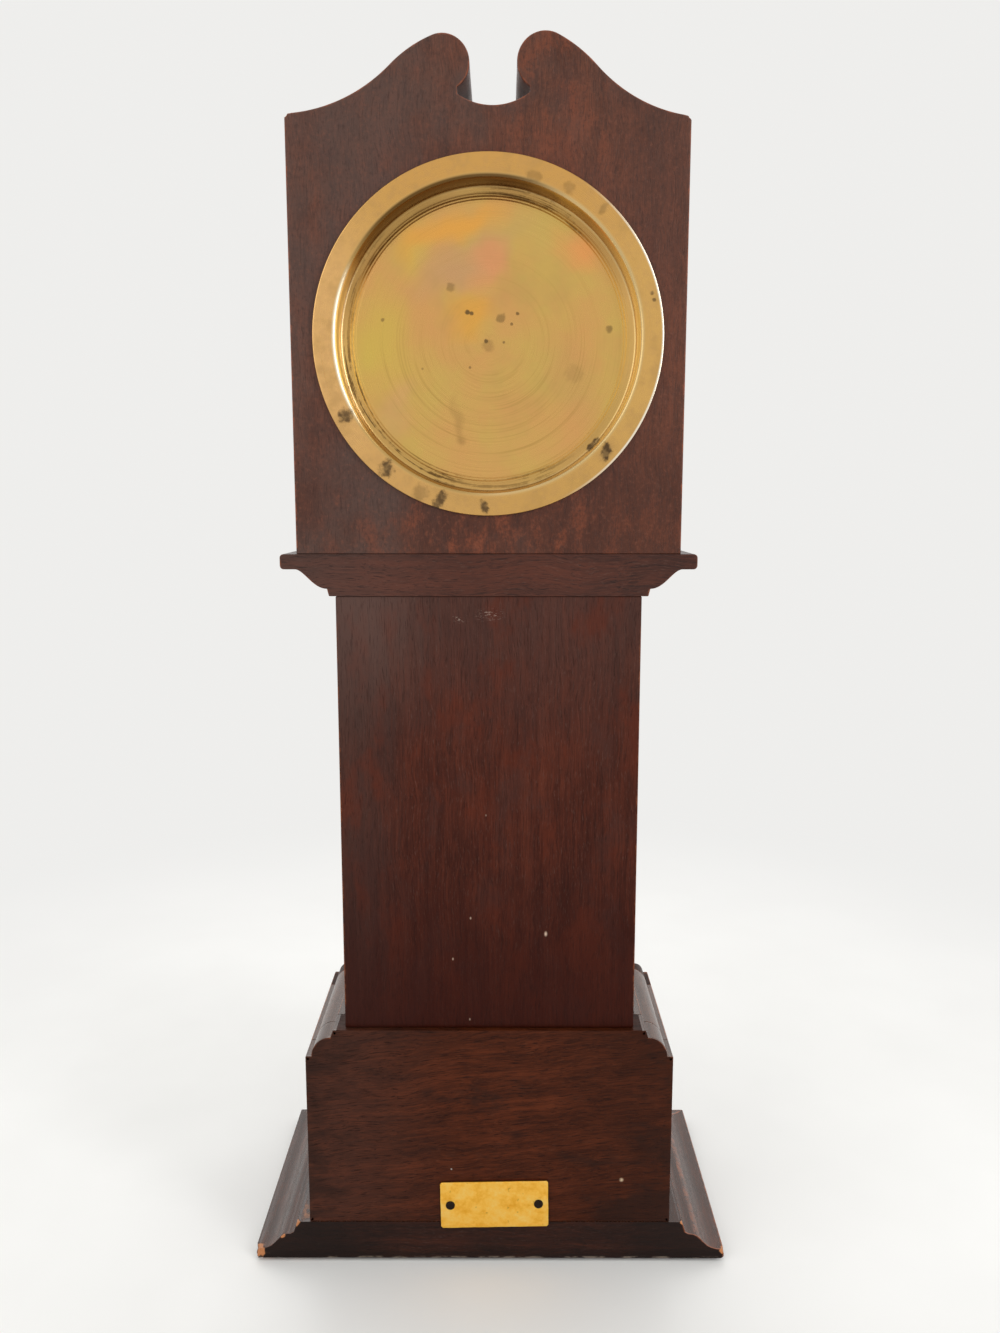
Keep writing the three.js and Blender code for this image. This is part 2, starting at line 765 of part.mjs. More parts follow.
const hingeTop = knuckleHalfLength + knuckleGap + knuckleLength;
const hingeHoleRadius = (hingePinRadius + runningGap) / Math.cos(Math.PI / pivotSegments);
const hingeHole = uprightRod(hingeHoleRadius, -hingeTop - throughCut, hingeTop + throughCut, pivotSegments);
const lugRoot = seatRadius - hingeLugInset;

function seatScrewTool(z) {
  const clearShank = seatScrewShankRadius + runningGap;
  const clearHead = seatScrewHeadRadius + runningGap;
  return turned([
    [0, seatFace - throughCut],
    [clearHead, seatFace - throughCut],
    [clearHead, seatFace],
    [clearShank, seatFace + seatScrewHeadDepth],
    [clearShank, seatBack + throughCut],
    [0, seatBack + throughCut],
  ], pivotSegments).translate(0, 0, z);
}

const seatRing = turned([
  [seatInnerRadius, seatFace],
  [seatRadius, seatFace],
  [seatRadius, seatBack],
  [coverCupRadius, seatBack],
  [coverCupRadius, seatSpigotDepth],
  [spigotInner, seatSpigotDepth],
  [spigotInner, seatBack],
  [seatInnerRadius, seatBack],
], fineSegments);
add('bezel_seat', cut(
  join(
    seatRing,
    block(lugRoot, hingeX, seatFace, seatBack, -knuckleHalfLength, knuckleHalfLength),
    uprightRod(knuckleRadius, -knuckleHalfLength, knuckleHalfLength)),
  hingeHole, ...Object.values(seatScrewPlaces).map(seatScrewTool)), 'brass', front);

for (const [name, z] of Object.entries(seatScrewPlaces)) {
  const headFace = seatFace + glueLine;
  const screw = turned([
    [0, headFace],
    [seatScrewHeadRadius, headFace],
    [seatScrewShankRadius, headFace + seatScrewHeadDepth],
    [seatScrewShankRadius, seatScrewLength],
    [0, seatScrewLength],
  ], pivotSegments);
  add(name, screw.translate(0, 0, z), 'steel', front);
}

add('hinge_pin', uprightRod(hingePinRadius, -hingeTop - hingePinEnd, hingeTop + hingePinEnd, pivotSegments),
  'steel', front);

// Bezel and glass
const bezelFace = bezelBack - bezelDepth;
const bezelInner = seatRadius - bezelWall;
const lipInner = bezelInner - bezelLipWidth;
const lipBack = bezelFace + bezelLipThickness;
const bezelRing = turned([
  [bezelInner, bezelBack],
  [seatRadius, bezelBack],
  ...arcPoints([seatRadius - bezelShoulder, bezelFace + bezelShoulder], bezelShoulder, 0, -90, lipSteps),
  [lipInner, bezelFace],
  [lipInner, lipBack],
  [bezelInner, lipBack],
], fineSegments);
const knuckleStart = knuckleHalfLength + knuckleGap;
const bezelKnuckles = [knuckleStart, -hingeTop].flatMap((z) => [
  block(lugRoot, hingeX, bezelBack - seatThickness, bezelBack, z, z + knuckleLength),
  uprightRod(knuckleRadius, z, z + knuckleLength),
]);
add('bezel', cut(join(bezelRing, ...bezelKnuckles), hingeHole), 'brass', front);

function glassProfile() {
  const rim = bezelInner - pushGap;
  const face = lipBack + glueLine;
  const back = face + glassThickness;
  const domeEdge = rim - glassRimWidth;
  const domeRadius = (domeEdge ** 2 + glassCrown ** 2) / (2 * glassCrown);
  const sweep = Math.asin(domeEdge / domeRadius) / degrees;
  const outside = arcPoints([0, face - glassCrown + domeRadius], domeRadius, 270 + sweep, 270, domeSteps);
  const inside = arcPoints([0, back - glassCrown + domeRadius], domeRadius, 270, 270 + sweep, domeSteps);
  outside[domeSteps][0] = 0;
  inside[0][0] = 0;
  return [...inside, [rim, back], [rim, face], ...outside];
}

add('glass', turned(glassProfile(), fineSegments), 'glass', front);

// Places in the movement: X and Z from the hands' axis
const centre = [0, 0];
const barrelPlace = away(centre, (barrelTeeth + centrePinionLeaves) * barrelModule / 2, barrelBearing);
const thirdPlace = away(centre, (centreTeeth + thirdLeaves) * centreModule / 2, thirdBearing);
const fourthPlace = away(thirdPlace, (thirdTeeth + fourthLeaves) * thirdModule / 2, fourthBearing);
const escapePlace = away(fourthPlace, (fourthTeeth + escapeLeaves) * fourthModule / 2, escapeBearing);
const palletPlace = away(escapePlace, palletDistance, palletBearing);
const balancePlace = away(palletPlace, balanceDistance, balanceBearing);
const cockFootPlace = away(balancePlace, cockFootDistance, cockFootBearing);
const clickPlace = away(barrelPlace, clickDistance, clickBearing);
const motionDistance = (cannonLeaves + minuteWheelTeeth) * motionModule / 2;
const hourModule = 2 * motionDistance / (minutePinionLeaves + hourWheelTeeth);
const minuteWheelPlace = away(centre, motionDistance, minuteWheelBearing);
const plateRadius = hoodBore - plateMargin;
const pillarCircle = plateRadius - pillarEdge;
const pillarPlaces = Object.fromEntries(
  Object.entries(pillarAngles).map(([name, angle]) => [name, away(centre, pillarCircle, angle)]));
const dialFeet = [dialFootAngle, dialFootAngle + 180].map((angle) => away(centre, dialFootCircle, angle));

// Levels along Y in the movement, counted from the front plate's inner face
const plateFront = -plateStock;
const backPlateFoot = plateSpacing;
const backPlateFace = plateSpacing + plateStock;
const dialBack = plateFront - motionSpace;
const dialFace = dialBack - dialThickness;
const hourHandBack = dialFace - handLift;
const minuteHandBack = hourHandBack - handThickness - handSpacing;
const nutBack = minuteHandBack - handThickness - glueLine;
const nutFace = nutBack - nutHeight;

// A toothed outline with straight flanks and one tooth's middle on the given bearing
function toothed(teeth, module, form, bearing) {
  const pitch = teeth * module / 2;
  const root = pitch - form.dedendum * module;
  const tip = pitch + form.addendum * module;
  const corners = [
    [root, -form.rootHalf], [tip, -form.tipHalf], [tip, form.tipHalf], [root, form.rootHalf],
  ];
  const points = [];
  for (let k = 0; k < teeth; k += 1) {
    const middle = bearing + 360 * k / teeth;
    for (const [radius, half] of corners) {
      points.push(away([0, 0], radius, middle + Math.asin(half * module / radius) / degrees));
    }
  }
  return polygon(points);
}

// A wheel has a gap, and a pinion a leaf, on the line to what it meshes with
function wheelDisc(teeth, module, bearing, y0, thickness) {
  return alongY(toothed(teeth, module, wheelTooth, bearing + 180 / teeth), y0, y0 + thickness);
}

function pinion(leaves, module, bearing, y0, y1) {
  return alongY(toothed(leaves, module, pinionLeaf, bearing), y0, y1);
}

// An arbor between the plates with a pivot at each end
function arbor(radius, y0 = endShake, y1 = plateSpacing - endShake) {
  return turned([
    [0, y0 - endShake - pivotEntry],
    [pivotRadius, y0 - endShake - pivotEntry],
    [pivotRadius, y0],
    [radius, y0],
    [radius, y1],
    [pivotRadius, y1],
    [pivotRadius, y1 + endShake + pivotEntry],
    [0, y1 + endShake + pivotEntry],
  ], pivotSegments);
}

// A tool for a hole whose flats, not its corners, lie at the radius
function hole(radius, [x, z], y0, y1) {
  const corner = radius / Math.cos(Math.PI / pivotSegments);
  return rod(corner, y0 - throughCut, y1 + throughCut, x, z, pivotSegments);
}

function addAt(name, geometry, finish, [x, z]) {
  add(name, geometry, finish, movement).position.set(x, 0, z);
}

// Plates and pillars
const pivotHole = pivotRadius + runningGap;
const screwHole = screwShankRadius + runningGap;
const trainPlaces = [thirdPlace, fourthPlace, escapePlace, palletPlace];
const frontHoles = [
  ...[...trainPlaces, balancePlace].map((place) => hole(pivotHole, place, plateFront, 0)),
  hole(centrePostRadius + runningGap, centre, plateFront, 0),
  hole(barrelPivotRadius + runningGap, barrelPlace, plateFront, 0),
  ...dialFeet.map((place) => hole(dialFootRadius + runningGap, place, plateFront, 0)),
];
const stud = rod(studRadius, dialBack + pushGap, plateFront + throughCut, ...minuteWheelPlace, pivotSegments);
const frontDisc = rod(plateRadius, plateFront, 0, 0, 0, fineSegments);
add('front_plate', cut(join(frontDisc, stud), ...frontHoles), 'brass', movement);

const backHoles = [
  ...[...trainPlaces, centre].map((place) => hole(pivotHole, place, backPlateFoot, backPlateFace)),
  hole(barrelPivotRadius + runningGap, barrelPlace, backPlateFoot, backPlateFace),
  hole(rollerRadius + rollerHoleGap, balancePlace, backPlateFoot, backPlateFace),
  ...[...Object.values(pillarPlaces), clickPlace, cockFootPlace].map(
    (place) => hole(screwHole, place, backPlateFoot, backPlateFace)),
];
const backDisc = rod(plateRadius, backPlateFoot, backPlateFace, 0, 0, fineSegments);
add('back_plate', cut(backDisc, ...backHoles), 'brass', movement);

function screw(tip, seat) {
  return turned([
    [0, tip],
    [screwShankRadius, tip],
    [screwShankRadius, seat + glueLine],
    [screwHeadRadius, seat + glueLine],
    [screwHeadRadius, seat + glueLine + screwHeadHeight],
    [0, seat + glueLine + screwHeadHeight],
  ], pivotSegments);
}

for (const [name, place] of Object.entries(pillarPlaces)) {
  const top = backPlateFoot - glueLine;
  const boreFoot = top - pillarScrewEntry - throughCut;
  const post = turned([
    [0, glueLine], [pillarRadius, glueLine], [pillarRadius, top],
    [screwHole, top], [screwHole, boreFoot], [0, boreFoot],
  ], pivotSegments);
  addAt(`pillar_${name}`, post, 'brass', place);
  addAt(`pillar_screw_${name}`, screw(top - pillarScrewEntry, backPlateFace), 'steel', place);
}

// Barrel, its cover, mainspring and arbor
const drumFoot = barrelLevel + greatWheelThickness;
const drumTop = drumFoot + drumDepth;
const barrelHole = barrelArborRadius + runningGap;
add('barrel', cut(
  join(
    wheelDisc(barrelTeeth, barrelModule, barrelBearing + 180, barrelLevel, greatWheelThickness),
    ring(drumRadius - drumWall, drumRadius, drumFoot - glueLine, drumTop, fineSegments)),
  hole(barrelHole, centre, barrelLevel, drumFoot)), 'brass', movement).position.set(
  barrelPlace[0], 0, barrelPlace[1]);
addAt('barrel_cover', ring(barrelHole, drumRadius, drumTop + glueLine, drumTop + barrelCoverThickness,
  fineSegments), 'brass', barrelPlace);

// A flat spiral strip between two radii
function spiral(inner, outer, turns, strip, y0, y1) {
  const steps = Math.round(turns * spiralStepsPerTurn);
  const edge = (offset) => Array.from({ length: steps + 1 }, (_, i) => away(
    [0, 0], inner + (outer - inner - strip) * i / steps + offset, 360 * turns * i / steps));
  const [inside, outside] = [edge(0), edge(strip)];
  reportSpiralGap(inside, outside);
  return alongY(polygon([...outside, ...inside.reverse()]), y0, y1);
}

function reportSpiralGap(inside, outside) {
  let least = Infinity;
  outside.forEach((a, i) => inside.slice(i + spiralStepsPerTurn / 2).forEach((b) => {
    least = Math.min(least, Math.hypot(a[0] - b[0], a[1] - b[1]));
  }));
  console.log(`least gap between the turns of a spring: ${least.toFixed(2)} mm`);
}

addAt('mainspring', spiral(mainspringInner, drumRadius - drumWall - mainspringSideGap, mainspringTurns,
  mainspringStrip, drumFoot + mainspringSideGap, drumTop - mainspringSideGap), 'steel', barrelPlace);

const arborHead = backPlateFace + ratchetLift + ratchetThickness;
const collarFront = plateFront - windingCollar;
const barrelShaft = turned([
  [0, collarFront],
  [barrelPivotRadius, collarFront],
  [barrelPivotRadius, endShake],
  [barrelArborRadius, endShake],
  [barrelArborRadius, plateSpacing - endShake],
  [barrelPivotRadius, plateSpacing - endShake],
  [barrelPivotRadius, arborHead],
  [0, arborHead],
], pivotSegments);
const squareHalf = windingSquare / 2;
const square = block(
  -squareHalf, squareHalf, dialFace + pushGap, plateFront - endShake, -squareHalf, squareHalf);
addAt('barrel_arbor', join(barrelShaft, square), 'steel', barrelPlace);

// Ratchet and click on the back plate
function sawTeeth(teeth, radius, depth, bearing) {
  const points = [];
  for (let k = 0; k < teeth; k += 1) {
    const angle = bearing + 360 * k / teeth;
    points.push(away([0, 0], radius, angle), away([0, 0], radius - depth, angle + 360 / teeth * sawRake));
  }
  return polygon(points);
}

const ratchetFoot = backPlateFace + ratchetLift;
addAt('ratchet_wheel', cut(
  alongY(sawTeeth(ratchetTeeth, ratchetRadius, ratchetToothDepth, 0), ratchetFoot, arborHead),
  hole(barrelPivotRadius + glueLine, centre, ratchetFoot, arborHead)), 'steel', barrelPlace);

const clickLine = ratchetRadius + clickGap + clickHalfWidth;
const clickReach = Math.sqrt(clickDistance ** 2 - clickLine ** 2);
const clickTurn = Math.asin(clickLine / clickDistance) / degrees;
const clickNose = away([0, 0], clickReach, clickBearing + 180 - clickTurn);
const clickHole = clickPostRadius + runningGap;
addAt('click', cut(
  join(
    rod(clickBossRadius, ratchetFoot, arborHead),
    bar([0, 0], clickNose, clickHalfWidth, ratchetFoot, arborHead)),
  hole(clickHole, centre, ratchetFoot, arborHead)), 'steel', clickPlace);
addAt('click_screw', turned([
  [0, backPlateFoot],
  [screwShankRadius, backPlateFoot],
  [screwShankRadius, backPlateFace],
  [clickPostRadius, backPlateFace],
  [clickPostRadius, arborHead + endShake],
  [clickBossRadius, arborHead + endShake],
  [clickBossRadius, arborHead + endShake + screwHeadHeight],
  [0, arborHead + endShake + screwHeadHeight],
], pivotSegments), 'steel', clickPlace);

// Going train: each arbor carries a wheel and the pinion that drives it
function pinionBeside(leaves, module, bearing, level, thickness) {
  return pinion(leaves, module, bearing, level - pinionOverhang, level + thickness + pinionOverhang);
}

const centrePost = turned([
  [0, nutFace + pushGap],
  [centrePostRadius, nutFace + pushGap],
  [centrePostRadius, endShake],
  [centreArborRadius, endShake],
  [centreArborRadius, plateSpacing - endShake],
  [pivotRadius, plateSpacing - endShake],
  [pivotRadius, plateSpacing + pivotEntry],
  [0, plateSpacing + pivotEntry],
], pivotSegments);
addAt('centre_wheel', join(
  centrePost,
  pinionBeside(centrePinionLeaves, barrelModule, barrelBearing, barrelLevel, greatWheelThickness),
  wheelDisc(centreTeeth, centreModule, thirdBearing, centreLevel, wheelThickness)), 'brass', centre);
addAt('third_wheel', join(
  arbor(arborRadius),
  pinionBeside(thirdLeaves, centreModule, thirdBearing + 180, centreLevel, wheelThickness),
  wheelDisc(thirdTeeth, thirdModule, fourthBearing, thirdLevel, wheelThickness)), 'brass', thirdPlace);
addAt('fourth_wheel', join(
  arbor(arborRadius),
  pinionBeside(fourthLeaves, thirdModule, fourthBearing + 180, thirdLevel, wheelThickness),
  wheelDisc(fourthTeeth, fourthModule, escapeBearing, fourthLevel, wheelThickness)), 'brass', fourthPlace);
addAt('escape_wheel', join(
  arbor(arborRadius),
  pinionBeside(escapeLeaves, fourthModule, escapeBearing + 180, fourthLevel, wheelThickness),
  alongY(sawTeeth(escapeTeeth, escapeRadius, escapeToothDepth, palletBearing),
    escapeLevel, escapeLevel + escapeThickness)), 'brass', escapePlace);

// Pallet lever
const leverLevel = escapeLevel + (escapeThickness - leverThickness) / 2;
const leverTop = leverLevel + leverThickness;
const palletCircle = escapeRadius + escapeGap + palletHalfWidth;
const toEscape = away([0, 0], palletDistance, palletBearing + 180);
const palletEnds = [-palletSpread, palletSpread].map(
  (spread) => away(toEscape, palletCircle, palletBearing + spread));
const forkEnd = away([0, 0], balanceDistance - rollerRadius - rollerGap, balanceBearing);
addAt('pallet_lever', join(
  arbor(pivotRadius + runningGap),
  rod(leverBossRadius, leverLevel, leverTop, 0, 0, pivotSegments),
  ...[...palletEnds, forkEnd].map((end) => bar([0, 0], end, palletHalfWidth, leverLevel, leverTop))),
'steel', palletPlace);

// Balance, hairspring and cock behind the back plate
const balanceLevel = backPlateFace + balanceLift;
const balanceTop = balanceLevel + balanceRimThickness;
const springFoot = balanceTop + hairspringLift;
const springTop = springFoot + hairspringHeight;
const cockFoot = backPlateFace + cockLift;
const cockTop = cockFoot + cockThickness;
const armEnd = balanceRadius - balanceRimWidth / 2;
addAt('balance_wheel', join(
  arbor(arborRadius, endShake, cockFoot - endShake),
  rod(rollerRadius, leverLevel, leverTop, 0, 0, pivotSegments),
  rod(colletRadius, balanceLevel, springTop, 0, 0, pivotSegments),
  bar([-armEnd, 0], [armEnd, 0], balanceArmWidth / 2, balanceLevel, balanceTop),
  ring(balanceRadius - balanceRimWidth, balanceRadius, balanceLevel, balanceTop, fineSegments)),
'brass', balancePlace);
addAt('hairspring', spiral(colletRadius + hairspringColletGap, hairspringOuter, hairspringTurns,
  hairspringStrip, springFoot, springTop), 'blued', balancePlace);

const cockFootLocal = [cockFootPlace[0] - balancePlace[0], cockFootPlace[1] - balancePlace[1]];
const cockFootSeat = backPlateFace + glueLine;
addAt('balance_cock', cut(
  join(
    rod(cockBossRadius, cockFoot, cockTop),
    bar([0, 0], cockFootLocal, cockBossRadius, cockFoot, cockTop),
    rod(cockFootRadius, cockFootSeat, cockTop, ...cockFootLocal)),
  hole(pivotHole, centre, cockFoot, cockTop),
  hole(screwHole, cockFootLocal, cockFootSeat, cockTop)), 'brass', balancePlace);
addAt('cock_screw', screw(backPlateFoot, cockTop), 'steel', cockFootPlace);

// Motion work: cannon pinion, minute wheel and hour wheel in front of the front plate
const minuteWheelBack = plateFront - motionLevel;
const minuteWheelFront = minuteWheelBack - motionWheelThickness;
const hourWheelBack = minuteWheelFront - hourWheelLift;
const hourWheelFront = hourWheelBack - motionWheelThickness;
const cannonBore = centrePostRadius + runningGap;
const hourPipeInner = cannonPipeRadius + runningGap;
const hourPipeRadius = hourPipeInner + hourPipeWall;
const cannonBack = plateFront - endShake;
const cannonFront = minuteWheelFront - pinionOverhang;
const cannonRod = hole(cannonBore, centre, nutFace, plateFront);
add('cannon_pinion', cut(
  join(
    pinion(cannonLeaves, motionModule, minuteWheelBearing, cannonFront, cannonBack),
    rod(cannonPipeRadius, minuteHandBack + glueLine, minuteWheelFront),
    rod(minuteSeatRadius, minuteHandBack - handThickness, cannonFront)),
  cannonRod), 'steel', movement);
addAt('minute_wheel', cut(
  join(
    wheelDisc(minuteWheelTeeth, motionModule, minuteWheelBearing + 180,
      minuteWheelFront, motionWheelThickness),
    pinion(minutePinionLeaves, hourModule, minuteWheelBearing + 180,
      hourWheelFront - pinionOverhang, minuteWheelFront + glueLine)),
  hole(studRadius + runningGap, centre, hourWheelFront - pinionOverhang, minuteWheelBack)), 'brass',
minuteWheelPlace);
add('hour_wheel', cut(
  join(
    wheelDisc(hourWheelTeeth, hourModule, minuteWheelBearing, hourWheelFront, motionWheelThickness),
    rod(hourPipeRadius, hourHandBack - handThickness, hourWheelBack)),
  hole(hourPipeInner, centre, hourHandBack - handThickness, hourWheelBack)), 'brass', movement);

// Dial with its two feet
add('dial', cut(
  join(
    rod(spigotInner - pushGap, dialFace, dialBack, 0, 0, fineSegments),
    ...dialFeet.map(([x, z]) => rod(
      dialFootRadius, dialBack - glueLine, plateFront + dialFootEntry, x, z, pivotSegments))),
  hole(hourPipeRadius + dialHoleGap, centre, dialFace, dialBack),
  hole(squareHalf * Math.SQRT2 + dialHoleGap, barrelPlace, dialFace, dialBack)), 'enamel', movement);

// Hands: a hub, a slim stem that swells to a spade, and a point
function hand(length, hubRadius, bore, back) {
  const face = back - handThickness;
  const spadeFoot = length - handSpadeLength;
  const spadeWide = length - handSpadePoint;
  const outline = polygon([
    [handWaist, 0], [handWaist, spadeFoot], [handSpade, spadeWide], [0, length],
    [-handSpade, spadeWide], [-handWaist, spadeFoot], [-handWaist, 0],
  ]);
  return cut(
    join(rod(hubRadius, face, back), alongY(outline, face, back)),
    hole(bore, [0, 0], face, back));
}

const minuteAngle = restMinute * 6;
const hourAngle = (restHour + restMinute / 60) * 30;
const hourBore = hourPipeRadius + runningGap;
add('hour_hand', hand(hourHandLength, hourBore + handHubWall, hourBore, hourHandBack)
  .rotateY(hourAngle * degrees), 'blued', movement);
const minuteBore = minuteSeatRadius + runningGap;
add('minute_hand', hand(minuteHandLength, minuteBore + handHubWall, minuteBore, minuteHandBack)
  .rotateY(minuteAngle * degrees), 'blued', movement);
add('hand_nut', ring(cannonBore, nutRadius, nutFace, nutBack), 'brass', movement);

export default clock;
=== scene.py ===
"""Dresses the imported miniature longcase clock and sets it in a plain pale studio."""
import math
from collections import namedtuple
from functools import reduce

import bmesh
import bpy
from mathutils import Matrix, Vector, noise
from mathutils.geometry import tessellate_polygon


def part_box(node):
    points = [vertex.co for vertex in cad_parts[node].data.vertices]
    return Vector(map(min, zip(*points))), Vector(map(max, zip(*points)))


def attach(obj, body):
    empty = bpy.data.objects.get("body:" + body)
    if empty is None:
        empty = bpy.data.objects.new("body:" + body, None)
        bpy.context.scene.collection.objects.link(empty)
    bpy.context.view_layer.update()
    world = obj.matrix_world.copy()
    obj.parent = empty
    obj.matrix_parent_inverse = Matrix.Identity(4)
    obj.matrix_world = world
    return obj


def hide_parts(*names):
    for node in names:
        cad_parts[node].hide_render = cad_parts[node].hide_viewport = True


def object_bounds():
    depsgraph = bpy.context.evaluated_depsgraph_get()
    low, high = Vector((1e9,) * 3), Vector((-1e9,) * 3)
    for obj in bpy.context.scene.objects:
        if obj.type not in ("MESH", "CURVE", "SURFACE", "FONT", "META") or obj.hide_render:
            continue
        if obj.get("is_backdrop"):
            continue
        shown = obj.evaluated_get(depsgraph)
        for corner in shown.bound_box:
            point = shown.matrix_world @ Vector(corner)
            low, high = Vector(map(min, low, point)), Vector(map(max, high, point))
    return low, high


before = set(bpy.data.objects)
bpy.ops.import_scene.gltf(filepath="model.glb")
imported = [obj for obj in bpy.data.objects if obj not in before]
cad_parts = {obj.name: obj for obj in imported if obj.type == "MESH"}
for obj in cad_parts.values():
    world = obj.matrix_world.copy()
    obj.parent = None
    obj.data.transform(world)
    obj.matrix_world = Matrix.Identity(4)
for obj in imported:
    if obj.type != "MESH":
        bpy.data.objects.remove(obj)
cad_low, cad_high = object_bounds()

MM = 0.001
TINY = 1e-7
ORIGIN = (0.0, 0.0, 0.0)


# Shader nodes

class Nodes:
    """A node tree made by short calls. Values are numbers, colours or sockets."""

    def __init__(self, tree):
        self.nodes, self.links = tree.nodes, tree.links
        self.nodes.clear()

    def put(self, socket, value):
        if isinstance(value, bpy.types.NodeSocket):
            self.links.new(value, socket)
        elif isinstance(value, tuple) and socket.type == "RGBA":
            socket.default_value = (*value, 1.0)
        else:
            socket.default_value = value

    def node(self, kind, inputs, output=0, **settings):
        """One output of a new node."""
        made = self.nodes.new("ShaderNode" + kind)
        for name, value in settings.items():
            setattr(made, name, value)
        for key, value in inputs.items():
            self.put(made.inputs[key], value)
        return made.outputs[output]

    def math(self, operation, *values):
        return self.node("Math", dict(enumerate(values)), operation=operation)

    def vector(self, operation, *values, output=0):
        return self.node("VectorMath", dict(enumerate(values)), output, operation=operation)

    def length(self, vector):
        return self.vector("LENGTH", vector, output="Value")

    def axes(self, vector):
        return self.node("SeparateXYZ", {0: vector}).node.outputs

    def times(self, *values):
        return reduce(lambda a, b: self.math("MULTIPLY", a, b), values)

    def add(self, *values):
        """The sum of the values. A pair is a value and its weight."""
        terms = [self.times(*value) if isinstance(value, tuple) else value for value in values]
        return reduce(lambda a, b: self.math("ADD", a, b), terms)

    def swing(self, value, reach):
        """Noise from 0 to 1 as a swing about nothing."""
        return self.times(self.add(value, -0.5), reach)

    def span(self, value, low, high, to_low=0.0, to_high=1.0):
        """A smooth step between two values."""
        return self.node("MapRange", {0: value, 1: low, 2: high, 3: to_low, 4: to_high},
                         interpolation_type="SMOOTHSTEP")

    def mix(self, factor, a, b):
        return self.node("Mix", {0: factor, 6: a, 7: b}, 2, data_type="RGBA")

    def ramp(self, value, *stops):
        made = self.node("ValToRGB", {0: value})
        elements = made.node.color_ramp.elements
        while len(elements) < len(stops):
            elements.new(0.5)
        for element, (place, colour) in zip(elements, stops):
            element.position = place
            element.color = (*colour, 1.0)
        return made

    def seen(self):
        """1 on the rays that look at the backdrop, straight or by way of metal and glass."""
        path = self.nodes.new("ShaderNodeLightPath").outputs
        rays = [path["Is %s Ray" % kind] for kind in ("Camera", "Glossy", "Transmission")]
        return reduce(lambda a, b: self.math("MAXIMUM", a, b), rays)


class Shader(Nodes):
    """A material in the making: xyz is the place in millimetres, and over() lays tints on the colour."""

    def __init__(self, name):
        self.material = bpy.data.materials.new(name)
        self.material.use_nodes = True
        super().__init__(self.material.node_tree)
        self.bsdf = self.nodes.new("ShaderNodeBsdfPrincipled")
        self.out = self.nodes.new("ShaderNodeOutputMaterial")
        self.links.new(self.bsdf.outputs[0], self.out.inputs[0])
        self.xyz = self.mapped(self.node("TexCoord", {}, "Object"), 1 / MM)
        self.colour = None

    def mapped(self, vector, scale=1.0, shift=ORIGIN, turn=0.0):
        """A vector scaled, turned about Y and then shifted."""
        if isinstance(scale, float):
            scale = (scale,) * 3
        return self.node("Mapping", {"Vector": vector, "Scale": scale, "Location": shift,
                                     "Rotation": (0.0, math.radians(turn), 0.0)})

    def noise(self, scale, shift=ORIGIN, detail=4.0, rough=0.6, at=None, output="Fac"):
        where = self.mapped(self.xyz if at is None else at, scale, shift)
        inputs = {"Vector": where, "Scale": 1.0, "Detail": detail, "Roughness": rough}
        return self.node("TexNoise", inputs, output)

    def mark(self, name):
        """A value stored on the mesh's points."""
        return self.node("Attribute", {}, "Fac", attribute_name=name)

    def near(self, point, reach, at=None):
        """1 at a point, falling to 0 at the reach."""
        away = self.vector("DISTANCE", self.xyz if at is None else at, point, output="Value")
        return self.span(away, 0.0, reach, 1.0, 0.0)

    def specks(self, cell, size, share):
        """Sparse round specks: a share of the cells hold one."""
        inputs = {"Vector": self.xyz, "Scale": 1.0 / cell, "Randomness": 1.0}
        away = self.node("TexVoronoi", inputs, "Distance")
        chosen = self.node("SeparateColor", {0: away.node.outputs["Color"]})
        dot = self.span(away, size / cell * 0.6, size / cell, 1.0, 0.0)
        return self.times(dot, self.math("LESS_THAN", chosen, share))

    def over(self, tint, mask, strength=None):
        """Lays a tint over the colour where the mask is strong."""
        if strength is not None:
            mask = self.times(mask, strength)
        self.colour = self.mix(mask, self.colour, tint)

    def bump(self, height, strength, distance):
        normal = self.node("Bump", {"Strength": strength, "Distance": distance * MM, "Height": height})
        self.put(self.bsdf.inputs["Normal"], normal)

    def look(self, slot, **values):
        """Sets the surface and gives the material with the name of its slot."""
        for name, value in {"Base_Color": self.colour, **values}.items():
            self.put(self.bsdf.inputs[name.replace("_", " ")], value)
        return self.material, slot


def grained(axis, across, along):
    """Noise scales for marks that run along one axis."""
    return tuple(along if name == axis else across for name in "xyz")


